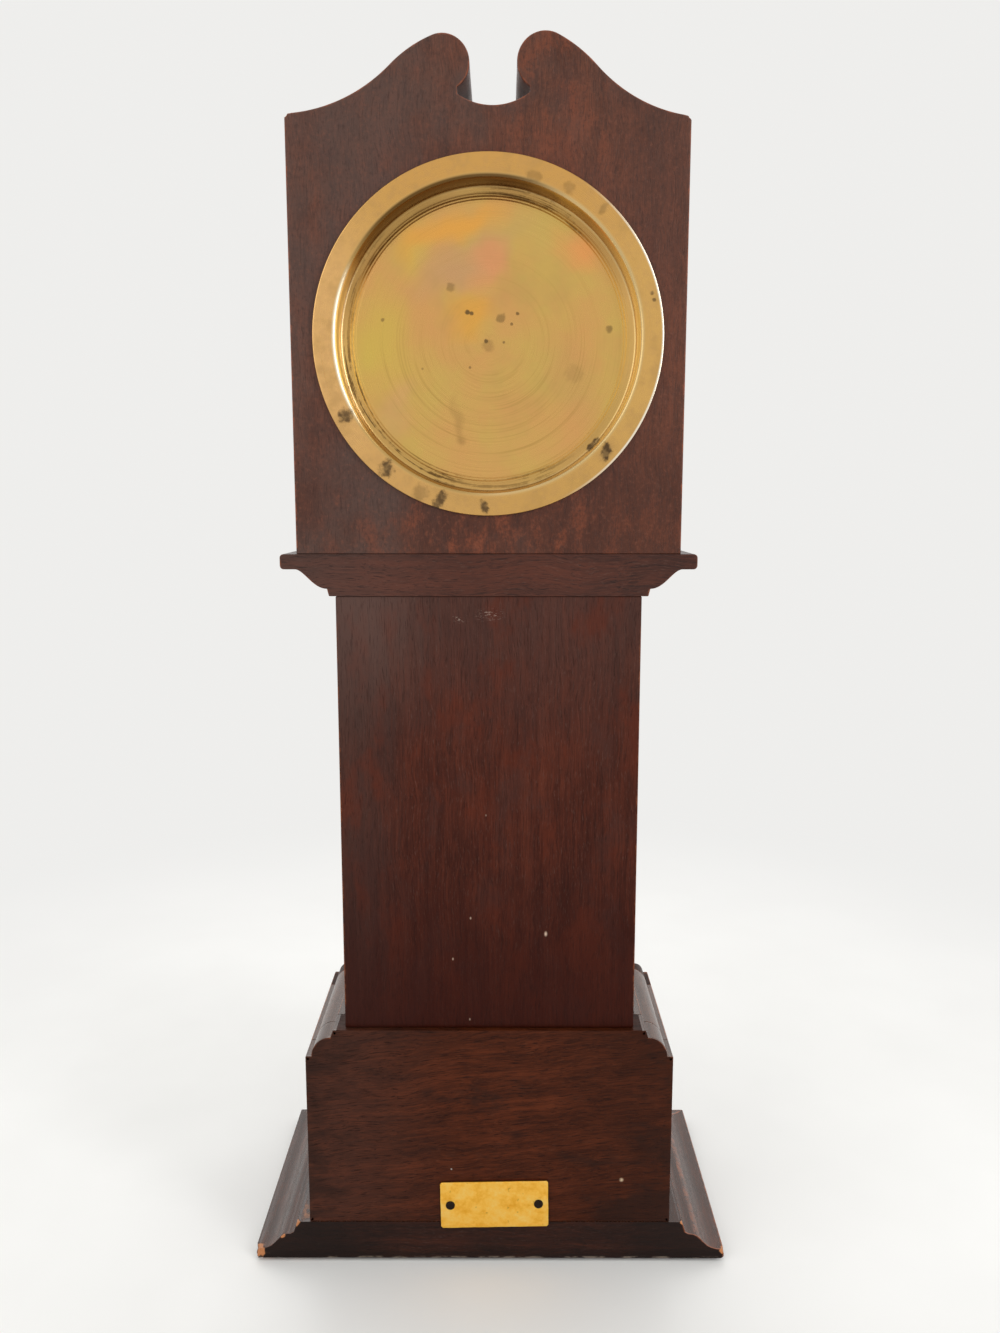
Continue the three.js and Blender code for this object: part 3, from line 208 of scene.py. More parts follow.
def wood(name, slot, grain, tones, seed, figure, shade=None, gloss=0.36, ior=1.33, sway=5.0, pores=0.6,
         tilt=0.0, run=1.0, relief=0.5, wear=(0.22, 0.066, 0.027), glint=(0.15, 0.085, 0.066)):
    """French-polished mahogany: streaks, fibres and pores along the grain, painted glints, worn arrises,
    chips and dust.
    """
    s = Shader(name)
    dark, mid, light = tones
    drift = s.noise(0.05, (seed, seed * 2.0, 0.0), 2.0, 0.5, output="Color")
    swayed = s.vector("MULTIPLY_ADD", drift, (sway,) * 3, s.mapped(s.xyz, turn=tilt))
    shift = (seed * 7.3, seed * 3.1, seed * 5.7)

    def marks(across, along, detail, rough, at=swayed, shift=shift):
        return s.noise(grained(grain, across, along), shift, detail, rough, at)

    streak = marks(0.30, 0.012 * run, 6.0, 0.66)
    fibre = marks(1.6, 0.05 * run, 4.0, 0.65)
    pore = s.span(marks(3.0, 0.17, 3.0, 0.6), 0.52, 0.68)
    glint_flecks = marks(2.8, 0.35, 3.0, 0.65, shift=(shift[2], shift[0], shift[1]))
    cloud = marks(0.05, 0.026, 4.0, 0.55, s.xyz)
    ribbon = marks(0.15, 0.07, 5.0, 0.62)
    tone = s.add((streak, 0.34), (fibre, 0.32), (cloud, 0.34 - figure * 0.3), (ribbon, figure * 0.3))
    s.colour = s.ramp(tone, (0.405, dark), (0.50, mid), (0.595, light))
    # Painted glints: pale flecks along the grain stand in for the sheen of the polish in the pores
    s.over(glint, s.span(glint_flecks, 0.55, 0.72), 0.30)
    if shade:
        shade(s)
    s.over(tuple(c * 0.35 for c in dark), pore, pores)
    patchy = s.noise(0.35, shift, 4.0, 0.65)
    worn = s.span(s.add(s.mark("wear"), s.swing(patchy, 1.5)), 0.55, 1.1)
    s.over(wear, worn, 0.8)
    bare = s.span(s.add(s.mark("chip"), s.swing(patchy, 0.8)), 0.35, 0.62)
    s.over((0.46, 0.185, 0.075), bare)
    s.over((0.42, 0.38, 0.34), s.specks(13.0, 0.36, 0.12), 0.8)
    s.bump(s.add((pore, -0.8), (fibre, 0.35), (streak, 0.5), (worn, -0.4)), relief, 0.08)
    rough = s.add(gloss, s.swing(cloud, 0.22), (worn, 0.12), (bare, 0.3), (pore, 0.12))
    return s.look(slot, Roughness=rough, IOR=ior)


def metal(name, slot, colour, stain, rough, seed, lines=None, spread=0.4):
    """Handled metal: soft stains, fine scratches and, where a line axis is given, drawn or turned marks."""
    s = Shader(name)
    shift = (seed * 5.1, seed * 3.7, seed * 2.3)
    cloud = s.noise(0.11, shift, 5.0)
    grit = s.noise(1.1, shift, 4.0, 0.65)
    line = s.noise(grained(lines, 2.6, 0.12), shift, 3.0)
    soil = s.span(s.add((cloud, 0.75), (grit, 0.25)), 0.42, 0.72)
    s.colour = colour
    s.over(stain, soil, spread)
    s.bump(s.add((line, 0.7), (grit, 0.3)), 0.3, 0.03)
    return s.look(slot, Metallic=1.0, Roughness=s.add(rough, s.swing(grit, 0.16), (soil, 0.12)))


# Mesh building, in millimetres

def mesh_of(name, verts, faces, marks=None, least=0.0):
    """A mesh with its faces turned outwards, its marks and no edge shorter than the least."""
    mesh = bpy.data.meshes.new(name)
    mesh.from_pydata(verts, [], faces)
    for label, values in (marks or {}).items():
        mesh.attributes.new(label, "FLOAT", "POINT").data.foreach_set("value", values)
    work = bmesh.new()
    work.from_mesh(mesh)
    if least:
        bmesh.ops.dissolve_degenerate(work, dist=least, edges=work.edges)
    bmesh.ops.recalc_face_normals(work, faces=work.faces)
    work.to_mesh(mesh)
    work.free()
    return mesh


def placed(name, data):
    """A new object in the scene."""
    made = bpy.data.objects.new(name, data)
    bpy.context.scene.collection.objects.link(made)
    return made


def piece(name, shape, look, node=None, body="case", marks=None, sharp=38.0, other=None):
    """A closed mesh that rides on a body and stands for the CAD node named.

    other is a second look and the test, on a face's normal and centre, for the faces that take it.
    """
    verts, faces = shape
    mesh = mesh_of(name, [tuple(c * MM for c in v) for v in verts], faces, marks, TINY)
    mesh.shade_smooth()
    mesh.set_sharp_from_angle(angle=math.radians(sharp))
    material, slot = look
    mesh.materials.append(material)
    if other:
        (second, _), takes = other
        mesh.materials.append(second)
        for polygon in mesh.polygons:
            if takes(polygon.normal, polygon.center / MM):
                polygon.material_index = 1
    made = placed(name, mesh)
    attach(made, body)
    if node:
        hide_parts(node)


Box = namedtuple("Box", "low high mid half")


def box_mm(node):
    """A node's box in millimetres."""
    low, high = ([c / MM for c in corner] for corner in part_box(node))
    sides = list(zip(low, high))
    return Box(low, high, [(a + b) / 2 for a, b in sides], [(b - a) / 2 for a, b in sides])


def arc(centre, radius, start, end, steps):
    """Points on an arc, with angles in degrees from the first axis."""
    angles = [math.radians(start + (end - start) * k / steps) for k in range(steps + 1)]
    return [(centre[0] + radius * math.cos(a), centre[1] + radius * math.sin(a)) for a in angles]


def circle(x, z, radius, count, clockwise=False):
    """A ring of points in X and Z."""
    turn = (360, 0) if clockwise else (0, 360)
    return arc((x, z), radius, *turn, count)[:-1]


def bezier(p0, p1, p2, p3, steps):
    """Points on a cubic curve."""
    made = []
    for k in range(steps + 1):
        t, u = k / steps, 1 - k / steps
        made.append(tuple(u ** 3 * a + 3 * u * u * t * b + 3 * u * t * t * c + t ** 3 * d
                          for a, b, c, d in zip(p0, p1, p2, p3)))
    return made


def swung(u, w, degrees):
    """A point in X and Z turned about the origin, from +Z towards +X."""
    a = math.radians(degrees)
    return u * math.cos(a) + w * math.sin(a), w * math.cos(a) - u * math.sin(a)


def filleted(points, steps=3, ease=0.9):
    """Rounds the corners of an open line of (x, y, radius, wear) and adds unworn points beside them."""
    made = []
    last = len(points) - 1
    for k, (x, y, radius, wear) in enumerate(points):
        if radius <= 0 or k in (0, last):
            made.append((x, y, wear))
            continue
        here = Vector((x, y))
        sides = [Vector(points[j][:2]) - here for j in (k - 1, k + 1)]
        before, after = (side.normalized() for side in sides)
        room = [side.length for side in sides]
        half = sides[0].angle(sides[1]) / 2
        reach = min(radius / math.tan(half), 0.45 * room[0], 0.45 * room[1])
        start, end = here + before * reach, here + after * reach
        middle = here + (before + after).normalized() * (reach * math.tan(half) / math.sin(half))
        if room[0] > reach + ease * 2:
            made.append((*(start + before * ease), 0.0))
        a = start - middle
        sweep = a.angle_signed(end - middle)
        for i in range(steps + 1):
            turn = -sweep * i / steps
            cos, sin = math.cos(turn), math.sin(turn)
            v = Vector((a.x * cos - a.y * sin, a.x * sin + a.y * cos))
            made.append((*(middle + v), wear * (1.0 if 0 < i < steps else 0.75)))
        if room[1] > reach + ease * 2:
            made.append((*(end + after * ease), 0.0))
    return [p for k, p in enumerate(made) if k == 0 or math.dist(p[:2], made[k - 1][:2]) > 1e-4]


def rounded_line(points, steps=4):
    """An open profile of (radius, level, fillet) with its corners rounded."""
    return [(x, y) for x, y, _ in filleted([(x, y, r, 0.0) for x, y, r in points], steps, ease=99.0)]


def walls(a, b):
    """Faces between two rings of point numbers."""
    return list(zip(a, a[1:] + a[:1], b[1:] + b[:1], b))


def lofted(rings):
    """A closed shape through rings of as many points."""
    verts = [p for ring in rings for p in ring]
    count = len(rings[0])
    rows = [list(range(k, k + count)) for k in range(0, len(verts), count)]
    faces = [face for a, b in zip(rows, rows[1:]) for face in walls(a, b)]
    return verts, faces + [tuple(rows[0]), tuple(rows[-1])]


def drawn_out(loop, y0, y1):
    """A loop in X and Z drawn out along Y."""
    return lofted([[(x, y, z) for x, z in loop] for y in (y0, y1)])


def stops_along(length, near, count):
    """Distances along a side: those near an end, even steps between, and those near the other end."""
    room = length - 2 * near[-1]
    mids = [near[-1] + room * k / count for k in range(1, count)]
    return near + mids + [length - d for d in reversed(near)]


NEAR_ENDS, SIDE_STEPS, HAIR = (0.0, 0.35, 0.9, 1.8, 3.2), 14, 0.005
CORNER_WEAR, WEAR_FADE = 0.8, 0.9


def ring_of(half, back, front, corner):
    """A rounded rectangle of (x, y, wear), anticlockwise from the back's left end."""
    corners = [Vector((-half, back)), Vector((-half, front)), Vector((half, front)), Vector((half, back))]
    made = []
    for k in range(4):
        a, b, c = corners[k], corners[(k + 1) % 4], corners[(k + 2) % 4]
        u, v = (b - a).normalized(), (c - b).normalized()
        length = (b - a).length
        for d in stops_along(length, [corner + d for d in NEAR_ENDS], SIDE_STEPS):
            from_corner = min(d, length - d) - corner
            made.append((*(a + u * d), max(0.0, CORNER_WEAR - from_corner / WEAR_FADE)))
        middle = b - u * corner + v * corner
        for turn in (30, 60):
            t = math.radians(turn)
            made.append((*(middle - v * corner * math.cos(t) + u * corner * math.sin(t)), 1.0))
    return made


def moulded(box, levels, corner=0.3):
    """A board whose edge levels, (inward, z, wear) from the foot up, run round both ends and the front."""
    (_, front, _), (half, back, _) = box.low, box.high
    rings, wear = [], []
    height = -math.inf
    for k, (inward, z, edge) in enumerate(levels):
        capped = k in (0, len(levels) - 1)
        # A hair of rise on the flat steps keeps the strips of the flat back open
        height = max(z, height + HAIR)
        ring = ring_of(half - inward, back, front + inward, corner)
        rings.append([(x, y, height) for x, y, _ in ring])
        wear += [0.0 if capped else max(w, edge) if y < back - 0.05 else w for _, y, w in ring]
    return lofted(rings), wear


MITRE_LIMIT, ARRIS_STEPS, BOARD_STEP = 0.55, 3, 9.0


def inward_of(loop):
    """A step from each point of a loop towards its left side, so anticlockwise loops step inside."""
    steps = []
    for k, p in enumerate(loop):
        before, after = loop[k - 1], loop[(k + 1) % len(loop)]
        a = Vector((p[0] - before[0], p[1] - before[1])).normalized()
        b = Vector((after[0] - p[0], after[1] - p[1])).normalized()
        n = Vector((-a.y - b.y, a.x + b.x)).normalized()
        steps.append(n / max(MITRE_LIMIT, n.dot(Vector((-a.y, a.x)))))
    return steps


def slab(outline, y0, y1, edge, rim, holes=()):
    """An outline in X and Z, anticlockwise, drawn out along Y with rounded arrises. Holes run clockwise."""
    levels = [(y0, rim, 0.0), (y0, edge, 0.7)]
    for k in range(1, ARRIS_STEPS):
        a = math.pi / 2 * k / ARRIS_STEPS
        levels.append((y0 + edge * (1 - math.cos(a)), edge * (1 - math.sin(a)), 1.0))
    levels += [(y0 + edge, 0.0, 0.7), (y0 + rim, 0.0, 0.0)]
    levels += [(y0 + y1 - y, inward, w) for y, inward, w in reversed(levels)]
    verts, wear, faces, caps = [], [], [], ([], [])
    for loop in (outline, *holes):
        steps = inward_of(loop)
        rows = []
        for y, inward, w in levels:
            rows.append(list(range(len(verts), len(verts) + len(loop))))
            verts += [(p[0] + n.x * inward, y, p[1] + n.y * inward) for p, n in zip(loop, steps)]
            wear += [w] * len(loop)
        for a, b in zip(rows, rows[1:]):
            faces += walls(a, b)
        caps[0].append(rows[0])
        caps[1].append(rows[-1])
    for cap in caps:
        flat = [[Vector((verts[i][0], verts[i][2], 0.0)) for i in loop] for loop in cap]
        order = [i for loop in cap for i in loop]
        faces += [tuple(order[i] for i in triangle) for triangle in tessellate_polygon(flat)]
    return (verts, faces), wear


def cushion_grid(length, edge, ease):
    """Stops along a box side for rounded arrises, from 0 to the length."""
    near = [edge * (1 - math.tan(math.radians(a))) for a in (45, 30, 15, 0)] + [edge + ease]
    return stops_along(length, near, max(1, round((length - 2 * near[-1]) / BOARD_STEP)))


def board(low, high, edge, ease=0.8):
    """A plain board with rounded, worn arrises."""
    size = [b - a for a, b in zip(low, high)]
    stops = [cushion_grid(length, edge, ease) for length in size]
    index, verts, wear, faces = {}, [], [], []

    def vert(ijk):
        if ijk in index:
            return index[ijk]
        p = [stops[a][ijk[a]] for a in range(3)]
        q = [min(max(c, edge), length - edge) for c, length in zip(p, size)]
        out = Vector([a - b for a, b in zip(p, q)])
        gaps = sorted(min(c, length - c) for c, length in zip(p, size))
        if out.length > 1e-9:
            out = out.normalized() * edge
        verts.append(tuple(a + b + c for a, b, c in zip(low, q, out)))
        wear.append(max(0.0, 1.0 - gaps[1] / (edge + ease)))
        index[ijk] = len(verts) - 1
        return index[ijk]

    for axis in range(3):
        u, v = (axis + 1) % 3, (axis + 2) % 3
        for end in (0, len(stops[axis]) - 1):
            for i in range(len(stops[u]) - 1):
                for j in range(len(stops[v]) - 1):
                    face = []
                    for di, dj in ((0, 0), (1, 0), (1, 1), (0, 1)):
                        ijk = [0, 0, 0]
                        ijk[axis], ijk[u], ijk[v] = end, i + di, j + dj
                        face.append(vert(tuple(ijk)))
                    faces.append(tuple(face))
    return (verts, faces), wear


def about_y(x, z):
    """Maps (radius, angle, level) to a point about an axis along Y."""
    return lambda radius, angle, level: (x + radius * math.cos(angle), level, z + radius * math.sin(angle))


def about_z(x, y):
    """Maps (radius, angle, level) to a point about an axis along Z."""
    return lambda radius, angle, level: (x + radius * math.cos(angle), y + radius * math.sin(angle), level)


def axis_of(node):
    """The axis along Y through a node's middle."""
    x, _, z = box_mm(node).mid
    return about_y(x, z)


def lathe(profile, place, segments, closed=False):
    """Turns a line of (radius, level) about an axis. Ends on the axis become poles."""
    verts, faces, rows = [], [], []
    for radius, level in profile:
        if radius < 1e-6:
            rows.append([len(verts)] * segments)
            verts.append(place(0.0, 0.0, level))
            continue
        rows.append(list(range(len(verts), len(verts) + segments)))
        verts += [place(radius, 2 * math.pi * i / segments, level) for i in range(segments)]
    if closed:
        rows.append(rows[0])
    for a, b in zip(rows, rows[1:]):
        corners = [tuple(dict.fromkeys(face)) for face in walls(a, b)]
        faces += [face for face in corners if len(face) > 2]
    return verts, faces


def merged(*shells):
    """Several shells as one shape."""
    verts, faces = [], []
    for more_verts, more_faces in shells:
        start = len(verts)
        verts += more_verts
        faces += [tuple(i + start for i in face) for face in more_faces]
    return verts, faces


def carved(shape, tool):
    """The first shape with the second cut out of it."""
    made = [placed("carving", mesh_of("carving", *part)) for part in (shape, tool)]
    cut = made[0].modifiers.new("cut", "BOOLEAN")
    cut.object, cut.solver = made[1], "EXACT"
    bpy.context.view_layer.update()
    result = made[0].evaluated_get(bpy.context.evaluated_depsgraph_get()).to_mesh()
    verts = [tuple(v.co) for v in result.vertices]
    faces = [tuple(p.vertices) for p in result.polygons]
    for mesh in [obj.data for obj in made]:
        bpy.data.meshes.remove(mesh)
    return verts, faces


def dented(verts, dents, push):
    """Moves points near each dent (centre, reach, depth) along the push direction."""
    made = []
    for v in verts:
        p = Vector(v)
        for centre, reach, depth in dents:
            d = (p - Vector(centre)).length / reach
            if d < 1:
                p += Vector(push) * depth * (1 - d * d) ** 2
        made.append(tuple(p))
    return made


def chipped(verts, chips):
    """Breaks bits off an arris: returns moved points and how bare each one is."""
    made, bare = [], []
    for v in verts:
        p = Vector(v)
        most = 0.0
        for centre, reach, push in chips:
            rough = 0.75 + 0.5 * noise.noise(p * 0.9)
            d = (p - Vector(centre)).length / (reach * rough)
            most = max(most, 1.35 - d)
            if d < 1:
                p += Vector(push) * (1 - d) ** 0.7
        made.append(tuple(p))
        bare.append(min(1.0, max(0.0, most)))
    return made, bare


# Woods

def hood_shade(s):
    """Painted sheen high at one side, painted shade low down and at the other side, red patches low down and
    beside one scroll, and a stipple.
    """
    x, _, z = s.axes(s.xyz)
    # Painted sheen: a haze that grows towards one side and higher up
    sheen_noise = s.noise((0.045, 0.05, 0.035), (8.0, 2.0, 5.0))
    sheen_side = s.add((s.span(x, -25.0, 55.0), 0.30), (s.span(z, 290.0, 380.0), 0.12), s.add(sheen_noise, -0.5))
    warm = s.noise((0.07, 0.07, 0.035), (2.0, 6.0, 3.0), 4.0, 0.62)
    s.over((0.150, 0.040, 0.0195), s.span(warm, 0.50, 0.68), 0.40)
    smoke = s.noise((0.06, 0.07, 0.045), (7.0, 1.0, 9.0), 4.0, 0.62)
    s.over((0.060, 0.0255, 0.0195), s.span(smoke, 0.50, 0.70), 0.42)
    # Painted shade: darker towards the foot, greyed by painted sheen on its hazy side
    low = s.span(z, 305.0, 258.0)
    s.over((0.050, 0.0122, 0.0056), low, 0.58)
    s.over((0.066, 0.032, 0.0250), s.times(low, s.span(x, 12.0, 50.0)), 0.30)
    # Lays the painted sheen
    s.over((0.086, 0.0545, 0.0450), s.span(sheen_side, 0.08, 0.45), 0.62)
    # Painted shade: darker high up at the other side
    s.over((0.062, 0.0265, 0.0190), s.times(s.span(x, -22.0, -58.0), s.span(z, 300.0, 345.0)), 0.45)
    glow = s.noise((0.15, 0.1, 0.085), (3.0, 0.0, 1.0), 5.0, 0.68)
    foot = s.times(s.span(z, 278.0, 250.0), s.span(s.math("ABSOLUTE", s.add(x, 1.0)), 14.0, 50.0, 1.0, 0.2))
    side = s.times(s.span(x, 2.0, -14.0), s.span(x, -46.0, -28.0), s.span(z, 330.0, 385.0))
    red = s.times(s.span(glow, 0.46, 0.66), s.add(0.12, (foot, 0.75), (side, 0.5)))
    stipple = s.noise((0.85, 0.85, 0.75), (4.0, 2.0, 6.0), 4.0, 0.72)
    s.over((0.215, 0.053, 0.021), s.times(red, s.span(stipple, 0.36, 0.62, 0.45, 1.0)))
    s.over((0.200, 0.068, 0.038), s.span(stipple, 0.52, 0.70), 0.34)
    s.over((0.040, 0.0135, 0.0085), s.span(stipple, 0.48, 0.30), 0.42)


# Scuffs on the trunk's back: x, z and reach; white flecks: x, z, reach and strength
TRUNK_BACK, SQUAT, TALL = 41.2, 2.2, 0.6
SCUFFS = [(-0.3, 227.0, 6.5), (9.1, 225.6, 4.0)]
FLECKS = [(-19.0, 119.5, 0.75, 0.9), (6.2, 125.0, 0.42, 0.6), (12.2, 110.6, 0.42, 0.6), (6.6, 89.0, 0.4, 0.5),
          (1.0, 160.5, 0.35, 0.4)]


def trunk_shade(s):
    """A dull strip at one side, a foot darkened by painted shade, a head hazed by painted sheen with
    scratches, and a few white flecks.
    """
    x, _, z = s.axes(s.xyz)
    rag = s.noise((0.5, 0.1, 0.03), (2.0, 1.0, 3.0))
    s.over((0.050, 0.0305, 0.0255), s.span(s.add(x, s.swing(rag, 12.0)), 22.0, 44.0), 0.5)
    # Painted sheen: a haze towards the head
    s.over((0.083, 0.0465, 0.0385), s.span(s.add(z, s.swing(rag, 40.0)), 165.0, 238.0), 0.46)
    warm = s.noise((0.075, 0.07, 0.032), (1.0, 3.0, 7.0), 4.0, 0.62)
    s.over((0.105, 0.0205, 0.0090), s.span(warm, 0.50, 0.66), 0.50)
    haze = s.noise((0.065, 0.07, 0.040), (5.0, 9.0, 2.0), 4.0, 0.62)
    s.over((0.052, 0.0225, 0.0180), s.span(haze, 0.50, 0.68), 0.45)
    # Painted sheen: paler high up at one side
    painted_sheen = s.times(s.span(s.add(x, s.swing(rag, 14.0)), 10.0, 40.0), s.span(z, 178.0, 236.0))
    s.over((0.120, 0.069, 0.057), painted_sheen, 0.55)
    # Painted shade: darker towards the foot
    s.over((0.026, 0.0030, 0.0012), s.span(s.add(z, s.swing(rag, 30.0)), 84.0, 172.0, 0.80, 0.0))
    lines = s.noise((0.8, 1.0, 2.4), (6.0, 1.0, 2.0), 3.0, 0.7)
    squat = s.mapped(s.xyz, (1.0, 1.0, SQUAT))
    for at_x, at_z, reach in SCUFFS:
        scuff = s.times(s.span(lines, 0.56, 0.64), s.near((at_x, TRUNK_BACK, at_z * SQUAT), reach, squat))
        s.over((0.32, 0.23, 0.19), scuff, 0.85)
    tall = s.mapped(s.xyz, (1.0, 1.0, TALL))
    for at_x, at_z, reach, strength in FLECKS:
        s.over((0.66, 0.48, 0.36), s.near((at_x, TRUNK_BACK, at_z * TALL), reach, tall), strength)


def base_shade(s):
    """Darker ends, a dark knot, a smoky corner, one pale fleck, and painted sheen to one side, painted shade
    to the other.
    """
    x, _, z = s.axes(s.xyz)
    patch = s.noise((0.06, 0.06, 0.14), (1.0, 5.0, 2.0), 4.0, 0.65)
    edge = s.span(s.math("ABSOLUTE", x), 42.0, 62.0)
    corner = s.times(s.span(x, -28.0, -46.0), s.span(z, 30.0, 20.0))
    smoky = s.times(s.span(x, 26.0, 50.0), s.span(z, 58.0, 71.0))
    dark = s.span(s.add(patch, (edge, 0.16), (corner, 0.30), (smoky, 0.05)), 0.54, 0.80)
    # Painted sheen: hazier towards one side
    s.over((0.058, 0.0285, 0.0215), s.span(x, 6.0, 52.0), 0.36)
    s.over((0.019, 0.0085, 0.006), dark, 0.7)
    # Painted shade: darker towards the other side
    s.over((0.022, 0.0060, 0.0026), s.span(x, -12.0, -58.0), 0.34)
    s.over((0.012, 0.005, 0.004), s.near((-9.5, 43.2, 86.0), 5.0, s.mapped(s.xyz, (1.0, 1.0, 1.8))), 0.6)
    s.over((0.62, 0.46, 0.30), s.near((-45.6, 43.2, 31.0), 1.0), 0.9)


def plinth_shade(s):
    """Nearly black towards both tips, painted shade low down, with a pale broken line of wear along the
    bottom edge.
    """
    x, _, z = s.axes(s.xyz)
    rag = s.noise((0.12, 0.1, 0.3), (3.0, 4.0, 1.0), 4.0, 0.65)
    ends = s.span(s.add(s.math("ABSOLUTE", s.add(x, 4.0)), s.swing(rag, 24.0)), 22.0, 62.0)
    s.over((0.0105, 0.0062, 0.005), ends, 0.75)
    # Painted shade: darker low down towards the floor
    s.over((0.008, 0.0042, 0.0034), s.span(z, 5.5, 2.5), 0.5)
    s.over((0.24, 0.19, 0.15), s.times(s.span(z, 2.2, 1.7), s.span(rag, 0.50, 0.60)), 0.6)


def cornice_shade(s):
    """Painted sheen at one side and a little darker towards the middle."""
    x = s.axes(s.xyz)[0]
    s.over((0.040, 0.0105, 0.0052), s.span(s.math("ABSOLUTE", x), 40.0, 4.0), 0.22)
    # Painted sheen: hazier towards one side
    s.over((0.078, 0.043, 0.034), s.span(x, 2.0, 60.0), 0.42)


wood_hood = wood("mahogany_hood", "mahogany", "z",
                 ((0.066, 0.0215, 0.0118), (0.108, 0.0350, 0.0185), (0.160, 0.0480, 0.0240)), 1.0, figure=0.7,
                 gloss=0.40, shade=hood_shade, ior=1.34, wear=(0.34, 0.095, 0.042), pores=0.4, run=2.6)
wood_trunk = wood("mahogany_trunk", "mahogany", "z",
                  ((0.036, 0.0092, 0.0056), (0.062, 0.0150, 0.0084), (0.096, 0.0230, 0.0120)), 2.3,
                  shade=trunk_shade, figure=0.45, ior=1.17, sway=3.0, pores=0.4)
wood_base = wood("mahogany_base", "red_mahogany", "x",
                 ((0.031, 0.0072, 0.0030), (0.057, 0.0128, 0.0043), (0.092, 0.0205, 0.0068)), 3.7, figure=0.8,
                 gloss=0.38, shade=base_shade, ior=1.18, sway=4.0, pores=0.75, tilt=-6.0, run=1.6,
                 glint=(0.13, 0.045, 0.022))
wood_side = wood("mahogany_base_sides", "red_mahogany", "y",
                 ((0.044, 0.0160, 0.0085), (0.080, 0.0300, 0.0140), (0.128, 0.0450, 0.0190)), 4.1, figure=0.3,
                 gloss=0.24, ior=1.72, wear=(0.36, 0.125, 0.06), pores=0.35, relief=0.2)
wood_cornice = wood("mahogany_cornice", "dark_mahogany", "x",
                    ((0.036, 0.0112, 0.0072), (0.066, 0.0190, 0.0108), (0.098, 0.0260, 0.0135)), 5.2,
                    shade=cornice_shade, figure=0.2, gloss=0.38, pores=0.7)
wood_plinth = wood("mahogany_plinth", "dark_mahogany", "x",
                   ((0.015, 0.0068, 0.005), (0.028, 0.0095, 0.0062), (0.050, 0.0145, 0.008)), 6.6, figure=0.5,
                   gloss=0.40, ior=1.2, shade=plinth_shade, glint=(0.09, 0.055, 0.044))
wood_edge = wood("polished_moulding", "dark_mahogany", "y",
                 ((0.026, 0.0108, 0.0070), (0.054, 0.0185, 0.0100), (0.092, 0.027, 0.012)), 7.9, figure=0.4,
                 gloss=0.24, ior=1.62, wear=(0.36, 0.115, 0.05), pores=0.35, relief=0.2)


# Case: plinth and feet

GLUE = 0.05
EDGE_TOP, OGEE_WIDTH, OGEE_TOP, OGEE_STEPS = 3.3, 12.4, 9.2, 26
plinth = box_mm("plinth_board")
half, back, _ = plinth.high
foot = plinth.low[2]
curve = bezier((0, EDGE_TOP), (OGEE_WIDTH * 0.69, EDGE_TOP), (OGEE_WIDTH * 0.56, OGEE_TOP),
               (OGEE_WIDTH, OGEE_TOP), OGEE_STEPS)
profile = [(0.6, 0.0, 0, 0.2), (0.0, 0.6, 0.4, 0.3), (*curve[0], 0.5, 0.95)]
profile += [(*p, 0, 0.7 if 15 < k < 23 else 0.0) for k, p in enumerate(curve) if 0 < k < OGEE_STEPS]
profile += [(*curve[-1], 0, 0.3), (13.6, 9.9, 0.25, 0.5), (14.8, 13.8, 0.35, 0.7), (15.9, 13.8, 0, 0.0)]
levels = [(inward, foot + z, wear) for inward, z, wear in filleted(profile)]
(verts, faces), wear = moulded(plinth, levels, corner=0.35)
verts, bare = chipped(verts, [
    ((half, back, foot + 2.6), 4.2, (-1.3, -0.9, -0.3)),
    ((-half, back, foot + 3.1), 2.2, (0.6, -0.5, -0.2)),
    ((half - 14.6, back, foot + 13.6), 1.7, (-0.3, -0.3, -0.4)),
    ((half - 9.8, back, foot + 8.4), 1.1, (-0.2, -0.3, -0.2)),
    ((-half + 14.8, back, foot + 13.7), 1.2, (0.3, -0.3, -0.35)),
])
verts = [(x, y, max(z, foot)) for x, y, z in verts]
wear = [w * (0.6 if v[0] > 0 else 1.0) for v, w in zip(verts, wear)]
piece("plinth_moulded_board", (verts, faces), wood_plinth, "plinth_board", marks={"wear": wear, "chip": bare},
      other=(wood_edge, lambda normal, centre: normal.y < 0.5 and normal.z > -0.5))

foot_look = metal("dull_foot", "foot", (0.10, 0.075, 0.045), (0.02, 0.016, 0.012), 0.5, 2.0)
for node in ("foot_front_left", "foot_front_right", "foot_back_left", "foot_back_right"):
    box = box_mm(node)
    (x, y, _), radius = box.mid, box.half[0]
    under, top = box.low[2], box.high[2]
    line = rounded_line([(0.0, under, 0), (radius - 0.4, under, 0.2), (radius, under + 0.35, 0.3),
                         (radius, top - 0.2, 0.15), (radius - 0.2, top, 0.1), (0.0, top, 0)])
    piece(node + "_disc", lathe(line, about_z(x, y), 56), foot_look, node)

# Case: base

WALL_TOP, LEDGE, OVOLO_WIDTH, OVOLO_HEIGHT, QUIRK_LEAN, OVOLO_STEPS = 61.4, 2.05, 6.6, 6.8, 0.85, 16


def base_levels(foot, top):
    """Edge of the base from its foot up: wall, ledge, ovolo and leaning quirk."""
    wall = foot - GLUE + WALL_TOP
    line = [(0.25, foot, 0, 0.2), (0.0, foot + 0.25, 0.2, 0.3)]
    line += [(0.0, wall, 0.4, 1.0), (LEDGE, wall, 0.15, 0.0)]
    for k in range(1, OVOLO_STEPS + 1):
        a = math.pi / 2 * k / OVOLO_STEPS
        line.append((LEDGE + OVOLO_WIDTH * (1 - math.cos(a)), wall + OVOLO_HEIGHT * math.sin(a), 0,
                     0.5 if 8 < k < 15 else 0.0))
    quirk = LEDGE + OVOLO_WIDTH + QUIRK_LEAN
    return filleted(line + [(quirk, top, 0.3, 0.9), (quirk + 1.2, top, 0, 0.0)])


